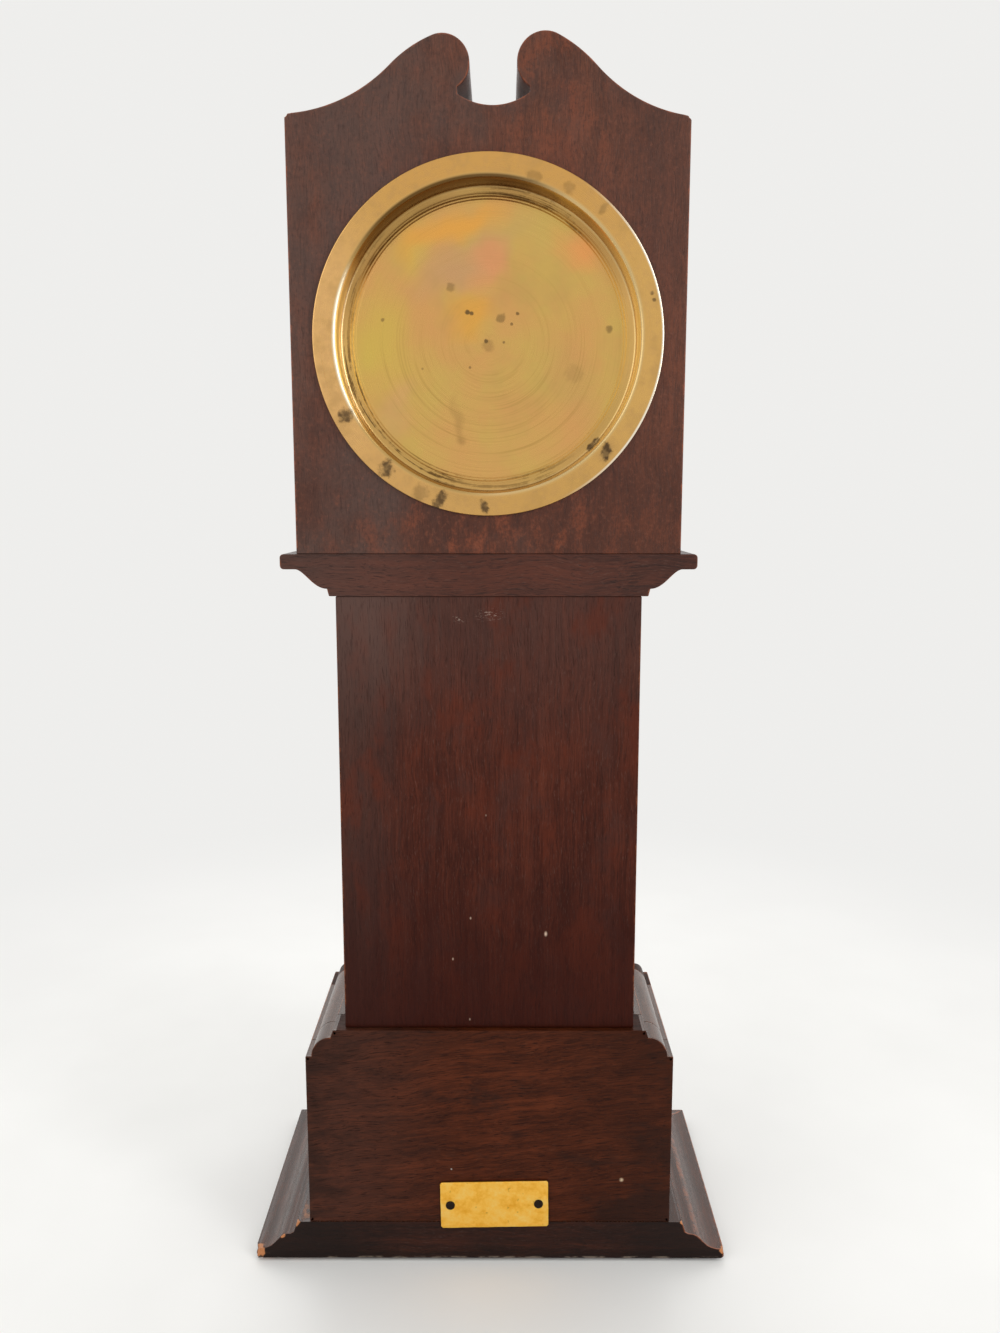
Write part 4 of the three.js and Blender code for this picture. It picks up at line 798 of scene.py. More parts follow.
base = box_mm("base_back_board")
base_half = base.high[0]
edge_line = base_levels(base.low[2], base.high[2])
right = [(base_half - inward, z) for inward, z, _ in edge_line]
outline = right + [(-x, z) for x, z in reversed(right)]
shape, wear = slab(outline, base.low[1], base.high[1], 0.35, 1.3)
wear = [w * (0.75 if base.low[2] + 1.5 < v[2] < base.high[2] - 1.5 else 0.25) for v, w in zip(shape[0], wear)]
piece("base_back_shaped_board", shape, wood_base, "base_back_board", marks={"wear": wear},
      other=(wood_side, lambda normal, centre: abs(normal.y) < 0.5 and abs(centre.x) > 10))

shape, wear = moulded(box_mm("base_front_board"), edge_line)
piece("base_front_moulded_board", shape, wood_base, "base_front_board", marks={"wear": wear})

for node, side in (("base_left_side", -1), ("base_right_side", 1)):
    low, high, _, _ = box_mm(node)
    inner = low[0] if side > 0 else high[0]
    outline = [(side * (base_half - inward), z) for inward, z, _ in edge_line]
    outline += [(inner, high[2]), (inner, low[2])]
    along = [w for _, _, w in edge_line] + [0.0, 0.0]
    if side < 0:
        outline.reverse()
        along.reverse()
    shape, wear = slab(outline, low[1], high[1], 0.06, 0.3)
    piece(node + "_moulded_board", shape, wood_side, node, marks={"wear": along * (len(wear) // len(along))})

box = box_mm("base_top_board")
shape, _ = board(box.low, box.high, edge=0.15)
piece("base_top_inner_board", shape, wood_side, "base_top_board")

# Case: trunk

for node in ("trunk_back_board", "trunk_front_board", "trunk_left_side", "trunk_right_side"):
    low, high, _, _ = box_mm(node)
    narrow = node.endswith("side")
    shape, wear = board(low, high, edge=0.08 if narrow else 0.4)
    wear = [0.0 if narrow or not low[2] + 2.0 < v[2] < high[2] - 2.0 else w for v, w in zip(shape[0], wear)]
    piece(node + "_polished", shape, wood_trunk, node, marks={"wear": wear})

# Case: cornice

CORNICE_EDGE, ROUND, SOFFIT, OGEE_IN, OGEE_DROP, LEAN, CURVE_STEPS = 4.8, 1.2, 4.6, 10.2, 6.2, 0.6, 22
cornice = box_mm("cornice_board")
height = cornice.high[2] - cornice.low[2] + GLUE
edge_foot = height - CORNICE_EDGE
curve_in, curve_foot = SOFFIT + OGEE_IN, edge_foot - OGEE_DROP
curve = bezier((SOFFIT, edge_foot), (SOFFIT + OGEE_IN * 0.3, edge_foot),
               (SOFFIT + OGEE_IN * 0.55, curve_foot), (curve_in, curve_foot), CURVE_STEPS)
line = [(curve_in + LEAN + 0.9, GLUE, 0, 0.0), (curve_in + LEAN, GLUE, 0.25, 0.4), (*curve[-1], 0.15, 0.25),
        (*curve[-2], 0, 0.25)]
line += [(*p, 0, 0.0) for p in reversed(curve[:-2])]
line += [(ROUND + 0.8, edge_foot, 0, 0.0)]
line += [(x, z, 0, 0.45) for x, z in arc((ROUND, edge_foot + ROUND), ROUND, 270, 180, 6)]
line += [(x, z, 0, 0.6) for x, z in arc((ROUND, height - ROUND), ROUND, 180, 90, 6)]
line += [(ROUND + 1.0, height, 0, 0.0), (ROUND + 2.5, height, 0, 0.0)]
levels = [(inward, cornice.low[2] - GLUE + z, wear) for inward, z, wear in filleted(line)]
shape, wear = moulded(cornice, levels)
piece("cornice_moulded_board", shape, wood_cornice, "cornice_board", marks={"wear": wear})

# Case: hood

hood, cover = box_mm("hood_block"), box_mm("rear_cover")
hood_half, hood_back, _ = hood.high
_, hood_front, hood_foot = hood.low
dial_z, FLANGE, BORE, SHOULDER_RISE = cover.mid[2], cover.half[0], 47.6, 130.0
dial_axis = about_y(0.0, dial_z)
shoulder = hood_foot - GLUE + SHOULDER_RISE
# Each half of the pediment: scroll place and radius, radius and start of its flank, centre of its swan neck
PEDIMENT = {1: (13.6, 15.6, 8.16, 38.56, 68.5, 63.4, 50.65),
            -1: (17.15, 15.95, 8.45, 42.9, 63.1, 66.55, 47.15)}
SCROLL_END, NOTCH_X, NOTCH_BOTTOM, NOTCH = 237.0, -1.4, 3.7, 19.0


def pediment_half(side):
    """One half of the hood's outline from its foot up, over the swan neck and round the scroll."""
    x, rise, radius, flank_radius, flank_angle, swan_x, swan_rise = PEDIMENT[side]
    scroll, swan = (x, shoulder + rise), (swan_x, shoulder + swan_rise)
    a = math.radians(flank_angle)
    inset = radius - flank_radius
    flank = (scroll[0] + inset * math.cos(a), scroll[1] + inset * math.sin(a))
    between = (swan[0] - flank[0], swan[1] - flank[1])
    swan_radius = math.hypot(*between) - flank_radius
    meet = math.degrees(math.atan2(between[1], between[0]))
    start = 360 - math.degrees(math.acos((hood_half - swan[0]) / swan_radius))
    neck = arc(swan, swan_radius, start, meet + 180, 30)
    top = neck[0][1]
    line = [(hood_half, hood_foot), (hood_half, hood_foot + 2.0)]
    line += [(hood_half, hood_foot + (top - hood_foot) * k / 16) for k in range(1, 16)]
    line += [(hood_half, top - 2.2), (hood_half, top - 1.2)]
    line += [(hood_half - 0.12, top - 0.7), (hood_half - 0.45, top - 0.25), (hood_half - 0.95, top + 0.02)]
    line += [p for p in neck if p[0] < hood_half - 1.6]
    line += arc(flank, flank_radius, meet, flank_angle, 12)[1:-1]
    return line + arc(scroll, radius, flank_angle, SCROLL_END, 40)


def hood_outline():
    """Both halves of the pediment, joined by the notch between the scrolls."""
    right = pediment_half(1)
    left = [(-x, z) for x, z in reversed(pediment_half(-1))]
    hooks = [270 + math.degrees(math.asin((x - NOTCH_X) / NOTCH)) for x in (right[-1][0], left[0][0])]
    return right + arc((NOTCH_X, shoulder + NOTCH_BOTTOM + NOTCH), NOTCH, *hooks, 24) + left


bore = circle(0.0, dial_z, BORE, 120, True)
(verts, faces), wear = slab(hood_outline(), hood_front, hood_back, 0.45, 1.5, holes=[bore])
wear = [0.0 if v[2] <= hood_foot + 1.5 or math.hypot(v[0], v[2] - dial_z) < 50 else w * 0.85
        for v, w in zip(verts, wear)]
verts, bare = chipped(verts, [((hood_half, hood_back, shoulder + 1.3), 1.6, (-0.3, -0.3, -0.3)),
                              ((-hood_half, hood_back, shoulder + 0.6), 1.7, (0.3, -0.3, -0.3))])
piece("hood_swan_neck_block", (verts, faces), wood_hood, "hood_block",
      marks={"wear": wear, "chip": [b * 0.6 for b in bare]})

# Rear cover

# Pry marks on the cover: bearing in degrees from the right seen from behind, distance from the middle,
# half length outwards, half length round, lean in degrees, strength
PRY_MARKS = [
    (207.6, 50.0, 2.8, 2.5, 20, 0.95), (231.2, 50.7, 2.9, 2.7, -25, 0.95), (252.8, 51.8, 4.2, 2.0, 14, 0.95),
    (246.0, 51.4, 3.2, 2.8, 0, 0.40), (268.5, 51.3, 2.6, 1.6, -28, 0.95), (316.8, 50.4, 2.1, 3.5, -20, 1.0),
    (316.3, 45.6, 0.9, 3.1, 0, 0.95), (47.4, 51.5, 2.6, 1.4, 0, 0.42), (60.7, 50.1, 2.0, 2.0, 0, 0.32),
    (73.6, 49.0, 1.8, 2.8, 0, 0.32), (14.9, 51.8, 0.9, 0.8, 0, 0.85), (12.4, 51.9, 0.7, 0.7, 0, 0.8),
]
# Specks on the cover's floor: x and z from the middle, reach, strength
FLOOR_SPECKS = [
    (6.6, 8.7, 1.0, 0.95), (5.2, 8.4, 0.8, 0.9), (-3.9, 7.0, 1.7, 0.55), (-9.1, 8.3, 0.6, 0.8),
    (-7.3, 5.2, 0.5, 0.7), (0.8, 0.0, 0.7, 0.9), (-4.8, -0.4, 0.6, 0.7), (0.0, -1.6, 2.2, 0.3),
    (11.6, 16.0, 1.6, 0.45), (5.8, -8.0, 0.45, 0.6), (33.0, 6.4, 0.7, 0.6), (-37.8, 3.6, 1.4, 0.6),
    (20.8, -8.4, 0.4, 0.5), (-27.0, -10.0, 3.4, 0.16),
]
# Rainbow tarnish on the cover's floor: x and z from the middle, half length along and across,
# bearing of the length, strength and colour
TARNISH = [
    (35.0, -1.0, 17.0, 9.0, 90, 0.75, (0.68, 0.49, 0.100)),
    (25.0, -8.0, 14.0, 9.0, 70, 0.40, (0.68, 0.47, 0.110)),
    (22.5, 25.5, 8.0, 5.0, 132, 0.65, (0.67, 0.48, 0.105)),
    (-10.0, 34.0, 16.0, 6.0, 172, 0.60, (0.63, 0.44, 0.130)),
    (9.5, 35.5, 16.0, 5.5, 163, 0.85, (0.84, 0.40, 0.080)),
    (22.0, 29.5, 8.0, 4.5, 132, 0.70, (0.82, 0.40, 0.085)),
    (8.5, 22.5, 20.0, 6.5, 151, 0.80, (0.62, 0.345, 0.170)),
    (-2.0, 26.5, 6.5, 5.0, 150, 0.75, (0.80, 0.335, 0.155)),
    (1.5, 20.0, 8.0, 4.0, 150, 0.55, (0.78, 0.34, 0.150)),
    (-27.3, 28.1, 8.0, 5.0, 43, 0.80, (0.85, 0.36, 0.115)),
    (6.2, 8.6, 8.0, 6.5, 0, 0.70, (0.82, 0.395, 0.070)),
    (29.0, -21.0, 10.0, 5.5, 115, 0.40, (0.74, 0.40, 0.185)),
    (-26.0, -12.0, 14.0, 8.0, 60, 0.30, (0.54, 0.35, 0.120)),
    (10.4, -25.0, 8.5, 1.8, 94, 0.42, (0.40, 0.225, 0.075)),
    (9.8, -31.0, 2.6, 1.6, 150, 0.45, (0.36, 0.20, 0.065)),
]
# Bands round the cup: radius from and to, and softness
WALL, GULLY, LIP, STEEP_HIGHLIGHT = (46.0, 47.9, 0.5), (42.8, 46.4, 0.9), (46.2, 48.0, 0.4), (46.35, 46.95, 0.25)
LIP_HIGHLIGHT_SECTOR = (-3, 0.84, 0.97)
# Shades on those bands: painted shade, brown at the head of the cup and either side of the lip's highlight;
# painted light, pale where the light falls in; and painted highlights on the lip and the steep wall:
# band, sector by its bearing, start and full, strength and colour
CUP_TINTS_AND_PAINTED_LIGHT = [
    (WALL, (190, 0.1, 0.8), 0.9, (0.60, 0.43, 0.19)),
    (WALL, (46, 0.72, 0.92), 0.85, (0.46, 0.28, 0.085)),
    (WALL, (-52, 0.72, 0.92), 0.85, (0.46, 0.28, 0.085)),
    (WALL, (74, 0.62, 0.94), 0.92, (0.115, 0.057, 0.016)),
    ((43.2, 46.4, 0.9), (120, 0.66, 0.97), 0.45, (0.29, 0.155, 0.043)),
    (GULLY, (42, 0.72, 0.95), 0.55, (0.34, 0.19, 0.055)),
    (GULLY, (-90, 0.0, 0.7), 0.38, (0.42, 0.245, 0.07)),
    (LIP, LIP_HIGHLIGHT_SECTOR, 0.9, (0.98, 0.88, 0.68)),
    (STEEP_HIGHLIGHT, (192, 0.45, 0.85), 0.95, (1.0, 0.87, 0.54)),
    (STEEP_HIGHLIGHT, (-3, 0.80, 0.96), 0.95, (1.0, 0.87, 0.54)),
]


class SpunShader(Shader):
    """A shader for a face turned about the dial's axis, by its radius and bearing."""

    def __init__(self, name):
        super().__init__(name)
        self.flat = self.vector("MULTIPLY", self.mapped(self.xyz, shift=(0.0, 0.0, -dial_z)), (1.0, 0.0, 1.0))
        self.radius = self.length(self.flat)
        self.heading = self.axes(self.vector("NORMALIZE", self.flat))

    def arcs(self, per_mm, turns, seed, detail):
        """Noise drawn out round the axis."""
        east, up = (self.times(self.heading[k], turns) for k in (0, 2))
        where = self.node("CombineXYZ", {0: east, 1: self.add((self.radius, per_mm), seed), 2: up})
        return self.noise(1.0, detail=detail, rough=0.66, at=where)

    def sector(self, bearing, start, full):
        """0 to 1 round the axis towards a bearing, which runs from +X towards +Z."""
        a = math.radians(bearing)
        towards = self.add((self.heading[0], math.cos(a)), (self.heading[2], math.sin(a)))
        return self.span(towards, start, full)

    def band(self, inner, outer, soft):
        return self.times(self.span(self.radius, inner - soft, inner + soft),
                          self.span(self.radius, outer + soft, outer - soft))

    def oval(self, vector, along, across):
        """Distance from the middle of an oval, 1 at its edge."""
        return self.length(self.mapped(vector, (1.0 / along, 0.0, 1.0 / across)))


def tarnish_floor(s):
    """Rainbow patches with edges that wander."""
    bend = s.vector("SUBTRACT", s.noise(0.06, (5.0, 1.0, 8.0), 2.0, 0.5, output="Color"), (0.5, 0.5, 0.5))
    bent = s.vector("MULTIPLY_ADD", bend, (16.0, 0.0, 16.0), s.flat)
    for x, z, along, across, bearing, strength, tint in TARNISH:
        local = s.mapped(s.mapped(bent, shift=(-x, 0.0, -z)), turn=bearing)
        s.over(tint, s.span(s.oval(local, along * 1.2, across * 1.25), 1.15, 0.1), strength)


def tint_flange(s, mottled):
    """Rosier at one side, duller at the head. Returns the painted highlight on the rim towards the light."""
    flange = s.span(s.radius, 47.4, 48.8)
    side = s.mix(s.sector(-20, 0.1, 0.9), (0.69, 0.405, 0.122), (0.79, 0.460, 0.178))
    side = s.mix(s.sector(90, 0.35, 0.95), side, (0.66, 0.355, 0.100))
    side = s.mix(s.times(s.sector(-90, 0.3, 0.95), 0.6), side, (0.60, 0.335, 0.098))
    s.over(side, flange, 0.85)
    blotch = s.noise(0.13, (4.0, 7.0, 2.0))
    s.over((0.50, 0.295, 0.10), s.times(flange, s.span(blotch, 0.48, 0.68)), 0.40)
    s.over((0.52, 0.30, 0.125), s.times(flange, s.span(mottled, 0.40, 0.66)), 0.22)
    # Painted highlight: a bright rim towards the light
    rim = s.times(s.span(s.radius, FLANGE - 0.9, FLANGE - 0.5), s.sector(184, 0.45, 0.9))
    s.over((0.98, 0.90, 0.74), rim, 0.9)
    return rim


def soil_groove(s, mottled):
    """Brown residue that polishing left in the groove, in streaks that follow the turning."""
    streaks = s.span(s.add(s.arcs(1.15, 2.2, 21.0, 4.0), s.swing(mottled, 0.35)), 0.50, 0.62)
    soil = s.add((s.sector(-38, 0.72, 0.96), 0.95), (s.sector(112, 0.86, 0.98), 0.75),
                 (s.sector(-90, 0.72, 0.95), 0.45), (s.sector(25, 0.75, 0.97), 0.45), 0.04)
    s.over((0.13, 0.066, 0.02), s.times(s.band(42.4, 46.2, 0.8), streaks, s.math("MINIMUM", soil, 0.92)))


def pry_marks(s, mottled):
    """Dark dents on the flange and specks on the floor. Returns where the dents are."""
    blots = []
    for bearing, distance, out, around, lean, strength in PRY_MARKS:
        local = s.mapped(s.mapped(s.flat, shift=(-distance, 0.0, 0.0), turn=180.0 - bearing), turn=lean)
        away = s.add(s.oval(local, out, around), s.swing(mottled, 1.7))
        blots.append(s.times(s.span(away, 0.45, 1.1, 1.0, 0.0), strength))
    dark = reduce(lambda a, b: s.math("MAXIMUM", a, b), blots)
    s.over(s.mix(s.span(mottled, 0.42, 0.62), (0.055, 0.034, 0.022), (0.20, 0.125, 0.055)), dark, 0.9)
    for x, z, reach, strength in FLOOR_SPECKS:
        spot = s.add(s.near((x, 0.0, z), reach * 1.7, s.flat), s.swing(mottled, 1.3))
        s.over((0.17, 0.10, 0.04), s.span(spot, 0.30, 0.80), strength)
    return dark


def cover_brass():
    """Spun brass: arcs of turning marks, rainbow tarnish, painted shade and highlights round the cup, residue
    in the groove, pry marks and specks.
    """
    s = SpunShader("spun_brass")
    fine, coarse = s.arcs(1.5, 0.6, 3.0, 5.0), s.arcs(0.42, 0.6, 11.0, 3.0)
    cloud = s.noise(0.05, (1.0, 2.0, 3.0), 4.0, 0.55)
    hue = s.noise(0.045, (9.0, 4.0, 2.5), 4.0, 0.55)
    mottled = s.noise(0.5, (2.0, 5.0, 1.0))
    s.colour = s.ramp(hue, (0.36, (0.655, 0.428, 0.119)), (0.50, (0.680, 0.394, 0.123)),
                      (0.64, (0.700, 0.369, 0.126)))
    tarnish_floor(s)
    s.over((0.42, 0.27, 0.10), s.span(cloud, 0.52, 0.75), 0.22)
    # Turning marks, strongest in the lower half and fading near the middle
    lower = s.add(0.13, (s.span(s.axes(s.flat)[2], 14.0, -18.0), 0.26))
    lower = s.times(lower, s.span(s.radius, 4.0, 20.0, 0.35, 1.0))
    s.over((0.40, 0.235, 0.06), s.span(fine, 0.52, 0.66), lower)
    s.over((0.47, 0.29, 0.08), s.span(coarse, 0.55, 0.70), 0.15)
    s.over((0.72, 0.45, 0.155), s.span(s.radius, 41.5, 44.0), 0.6)
    s.over((0.74, 0.54, 0.26), s.band(*WALL), 0.75)
    # Painted shade, painted light and painted highlights round the cup
    for band, sector, strength, tint in CUP_TINTS_AND_PAINTED_LIGHT:
        s.over(tint, s.times(s.band(*band), s.sector(*sector)), strength)
    # rim is the painted highlight on the flange's edge
    rim = tint_flange(s, mottled)
    soil_groove(s, mottled)
    dark = pry_marks(s, mottled)
    s.bump(s.add((fine, 0.8), (coarse, 0.6), (mottled, 0.25), (dark, -0.5)), 0.25, 0.05)
    # Where the lip's painted highlight lies, made a little rougher
    lip_highlight = s.times(s.band(*LIP), s.sector(*LIP_HIGHLIGHT_SECTOR))
    rough = s.add(0.28, s.swing(cloud, 0.16), s.swing(fine, 0.14), (dark, 0.2), (lip_highlight, 0.10), (rim, -0.06))
    return s.look("brass", Metallic=1.0, Roughness=rough)


CUP, SHEET, CUP_DEPTH, GROOVE_WIDTH, GROOVE_DEPTH, FLANGE_THICK = 47.3, 0.8, 8.0, 3.4, 0.9, 1.2
DISH, DISH_DROP, RIDGE, RIDGE_PITCH, DISH_STEPS = 3.6, 0.5, 0.022, 0.95, 36
seat = hood_back + GLUE
face = seat + FLANGE_THICK
wall = CUP - SHEET
groove = face - CUP_DEPTH
floor = groove + GROOVE_DEPTH
floor_edge = wall - GROOVE_WIDTH
profile = [(0.0, floor + 0.05, 0), (0.9, floor, 0.4)]
profile += [(r, floor, 0) for r in range(5, 36, 4)]
for k in range(DISH_STEPS + 1):
    t = k / DISH_STEPS
    r = floor_edge + 1.4 - DISH * (1 - t)
    ridge = RIDGE * math.sin(2 * math.pi * r / RIDGE_PITCH) * math.sin(math.pi * t)
    profile.append((r, floor - DISH_DROP * t * t * (3 - 2 * t) + ridge, 0))
profile += [(wall - 0.1, floor - DISH_DROP, 1.2), (wall, face - 4.4, 1.6), (wall + 0.35, face, 2.3)]
profile += [(wall + 2.9 + k * 0.55, face, 0) for k in range(8)]
profile += [(FLANGE, face, 0.7), (FLANGE, seat, 0.25), (CUP + 0.4, seat, 0), (CUP, seat - 0.4, 0.3),
            (CUP, groove - SHEET, 0.9), (floor_edge + 1.0, groove - SHEET, 0.6),
            (floor_edge + 1.0 - DISH, floor - SHEET, 2.0), (0.0, floor - SHEET, 0)]
verts, faces = lathe(rounded_line(profile), dial_axis, 192)
dents = []
for bearing, distance, out, around, _, strength in PRY_MARKS:
    a, reach = math.radians(bearing), (out + around) / 2
    if strength > 0.6 and reach > 1.5:
        middle = (-distance * math.cos(a), face, dial_z + distance * math.sin(a))
        dents.append((middle, reach * 1.2, 0.26 * strength))
pressed = dented(verts, dents, (0.0, -1.0, 0.0))
verts = [after if before[1] > seat + FLANGE_THICK / 2 else before for before, after in zip(verts, pressed)]
piece("rear_cover_spun_cup", (verts, faces), cover_brass(), "rear_cover", "rear_cover", sharp=45.0)

# Plate at the foot and its pins

plate = box_mm("name_plate")
plate_x, _, plate_z = plate.mid
TILT, MARGIN, WAVE, PER_WAVE = 1.1, 0.05, 0.09, 0.3
PINS = ("plate_pin_left", "plate_pin_right")


def tilted(shape):
    """Turns the plate or a pin a little, as they were fixed by hand."""
    made = []
    for x, y, z in shape[0]:
        u, w = swung(x - plate_x, z - plate_z, TILT)
        made.append((plate_x + u, y, plate_z + w))
    return made, shape[1]


def plate_brass():
    """Bright yellow brass, faintly brushed, with small pits."""
    s = Shader("plate_brass")
    cloud = s.noise((0.16, 0.16, 0.2), (3.0, 1.0, 6.0), 5.0, 0.62)
    grit = s.noise(0.9, (3.0, 1.0, 6.0), 4.0, 0.65)
    brush = s.noise((0.25, 1.0, 3.2), (2.0, 1.0, 2.0), 3.0)
    s.colour = s.ramp(s.add((cloud, 0.75), (grit, 0.25)),
                      (0.36, (1.0, 0.66, 0.17)), (0.50, (1.0, 0.57, 0.09)), (0.66, (0.88, 0.42, 0.035)))
    pits = s.span(s.noise(0.55, (8.0, 2.0, 5.0), 2.0, 0.5), 0.66, 0.74)
    s.over((0.32, 0.16, 0.03), pits, 0.4)
    s.bump(s.add((brush, 0.6), (grit, 0.5), (pits, -0.6)), 0.3, 0.03)
    return s.look("bright_brass", Metallic=1.0, Roughness=s.add(0.46, s.swing(grit, 0.2)))


half_w, half_h = plate.half[0] - MARGIN, plate.half[2] - MARGIN
steps_w = [half_w - 0.6 - (2 * half_w - 1.2) * k / 16 for k in range(17)]
steps_h = [half_h - 0.6 - (2 * half_h - 1.2) * k / 8 for k in range(9)]
outline = [(half_w, -h) for h in steps_h] + [(w, half_h) for w in steps_w]
outline += [(-half_w, h) for h in steps_h] + [(-w, -half_h) for w in steps_w]
outline = [(plate_x + x + WAVE * noise.noise(Vector((x * PER_WAVE, z * PER_WAVE, 0.0))),
            plate_z + z + WAVE * noise.noise(Vector((x * PER_WAVE, z * PER_WAVE, 4.0)))) for x, z in outline]
holes = [circle(mid[0], mid[2], 0.66, 24, True) for mid in (box_mm(node).mid for node in PINS)]
shape, _ = slab(outline, plate.low[1], plate.high[1], 0.14, 0.5, holes=holes)
piece("name_plate_blank", tilted(shape), plate_brass(), "name_plate")

pin_look = metal("oxidised_pin", "dark_pin", (0.030, 0.021, 0.016), (0.006, 0.005, 0.004), 0.5, 8.0)
for node in PINS:
    box = box_mm(node)
    tip, top, head = box.low[1], box.high[1], box.half[0]
    line = [(0.0, tip), (0.25, tip + 0.3), (0.6, tip + 1.6), (0.6, top - 0.56), (head, top - 0.55)]
    line += [(head * math.cos(a), top - 0.5 + 0.5 * math.sin(a)) for a in (0.0, 0.3, 0.6, 0.9, 1.2, 1.45)]
    piece(node + "_domed", tilted(lathe(line + [(0.0, top)], axis_of(node), 40)), pin_look, node)

# Metals, enamel, ink and glass

brass_look = metal("polished_brass", "brass", (0.78, 0.53, 0.19), (0.40, 0.25, 0.08), 0.20, 1.0)
works_look = metal("grained_brass", "brass", (0.74, 0.52, 0.20), (0.46, 0.30, 0.11), 0.26, 4.0, "z", 0.5)
wheel_look = metal("wheel_brass", "brass", (0.80, 0.57, 0.23), (0.50, 0.32, 0.11), 0.20, 9.0)
steel_look = metal("polished_steel", "steel", (0.56, 0.55, 0.54), (0.30, 0.27, 0.24), 0.24, 5.0, "y")
plain_steel = metal("ground_steel", "steel", (0.50, 0.49, 0.48), (0.24, 0.20, 0.17), 0.28, 3.0)
blue_look = metal("blued_steel", "blued_steel", (0.022, 0.042, 0.17), (0.012, 0.014, 0.05), 0.22, 6.0)


def enamel():
    """Aged white enamel with a few brown specks."""
    s = Shader("fired_enamel")
    cloud = s.noise(0.04, (2.0, 1.0, 3.0), 4.0, 0.55)
    fine = s.noise(0.6, detail=3.0)
    tone = s.add((cloud, 0.8), (fine, 0.2))
    s.colour = s.ramp(tone, (0.35, (0.72, 0.66, 0.52)), (0.62, (0.80, 0.76, 0.65)))
    s.over((0.30, 0.22, 0.12), s.specks(9.0, 0.3, 0.2), 0.5)
    s.bump(s.add((cloud, 0.6), (fine, 0.2)), 0.15, 0.05)
    return s.look("enamel", Roughness=s.add(0.14, (fine, 0.12)), IOR=1.5)


def dial_ink():
    """Black print, thin in places."""
    s = Shader("dial_ink")
    thin = s.noise(0.7, (1.0, 4.0, 2.0), 4.0, 0.65)
    s.colour = s.ramp(thin, (0.40, (0.010, 0.009, 0.010)), (0.72, (0.055, 0.045, 0.036)))
    s.bump(thin, 0.2, 0.01)
    return s.look(None, Roughness=s.add(0.32, (thin, 0.3)))


def clear_glass():
    """Clear glass with faint smears."""
    s = Shader("clear_glass")
    smear = s.noise((0.05, 0.05, 0.09), (7.0, 1.0, 2.0), 5.0)
    s.colour = s.ramp(smear, (0.3, (0.95, 0.97, 0.96)), (0.7, (0.99, 0.99, 0.985)))
    s.bump(smear, 0.1, 0.01)
    return s.look("glass", Roughness=s.span(smear, 0.45, 0.8, 0.0, 0.09), IOR=1.45, Transmission_Weight=1.0)


# Front: seat, bezel, glass and hinge

SEAT, SEAT_INNER, SPIGOT, SPIGOT_WALL, SEAT_THICK, SCREW_HOLE = 52.0, 43.5, 47.3, 1.0, 1.5, 1.74
KNUCKLE, KNUCKLE_BORE, LUG_ROOT, SEAT_KNUCKLE, GAP, BEZEL_KNUCKLE = 1.5, 0.74, 50.0, 4.0, 0.15, 5.0
HINGE_OUT, SEAT_SCREWS = 1.575, ("seat_screw_top", "seat_screw_bottom")
bezel_seat = box_mm("bezel_seat")
seat_back = hood_front - GLUE
seat_face = seat_back - SEAT_THICK
hinge_x = bezel_seat.high[0] - KNUCKLE
hinge = about_z(hinge_x, hood_front - HINGE_OUT)


def knuckle(z0, z1):
    """A bored barrel of the hinge."""
    line = [(KNUCKLE_BORE, z0), (KNUCKLE - 0.15, z0), (KNUCKLE, z0 + 0.15), (KNUCKLE, z1 - 0.15),
            (KNUCKLE - 0.15, z1), (KNUCKLE_BORE, z1)]
    return lathe(line, hinge, 40, closed=True)


def hinge_leaf(y, z0, z1):
    """A lug from a ring's edge, with its front at y, and the knuckle at its end."""
    lug, _ = board((LUG_ROOT, y, z0), (hinge_x - 1.0, y + SEAT_THICK, z1), edge=0.15, ease=0.3)
    return lug, knuckle(z0, z1)


def slotted_screw(node, line, half_width, low, high, turn):
    """A screw turned to a line, with a slot cut across its head between two levels."""
    place, half_length = axis_of(node), box_mm(node).half[0] + 0.5
    angle, reach = math.atan2(half_width, half_length), math.hypot(half_width, half_length)
    corners = [turn + angle, turn + math.pi - angle, turn + math.pi + angle, turn - angle]
    slot = lofted([[place(reach, a, level) for a in corners] for level in (low, high)])
    piece(node + "_slotted", carved(lathe(line, place, 48), slot), steel_look, node)


holes = [circle(0.0, dial_z, SEAT_INNER, 160, True)]
holes += [circle(mid[0], mid[2], SCREW_HOLE, 32, True) for mid in (box_mm(node).mid for node in SEAT_SCREWS)]
ring, _ = slab(circle(0.0, dial_z, SEAT, 180), seat_face, seat_back, 0.12, 0.2, holes=holes)
spigot_in, spigot_end = SPIGOT - SPIGOT_WALL, bezel_seat.high[1]
line = [(SPIGOT, seat_back - 0.2), (SPIGOT, spigot_end - 0.4), (SPIGOT - 0.3, spigot_end),
        (spigot_in, spigot_end), (spigot_in, seat_back - 0.2)]
spigot = lathe(line, dial_axis, 160, closed=True)
leaf = hinge_leaf(seat_face, dial_z - SEAT_KNUCKLE, dial_z + SEAT_KNUCKLE)
piece("bezel_seat_turned", merged(ring, spigot, *leaf), brass_look, "bezel_seat")

for node in SEAT_SCREWS:
    box = box_mm(node)
    head, top, tip = box.half[0], box.low[1], box.high[1]
    line = [(0.0, tip), (0.5, tip - 1.2), (0.78, tip - 2.2), (0.78, top + 1.15), (head, top + 0.1),
            (head - 0.08, top), (head * 0.5, top), (0.0, top)]
    slotted_screw(node, line, 0.2, top - 0.5, top + 0.55, 0.6)

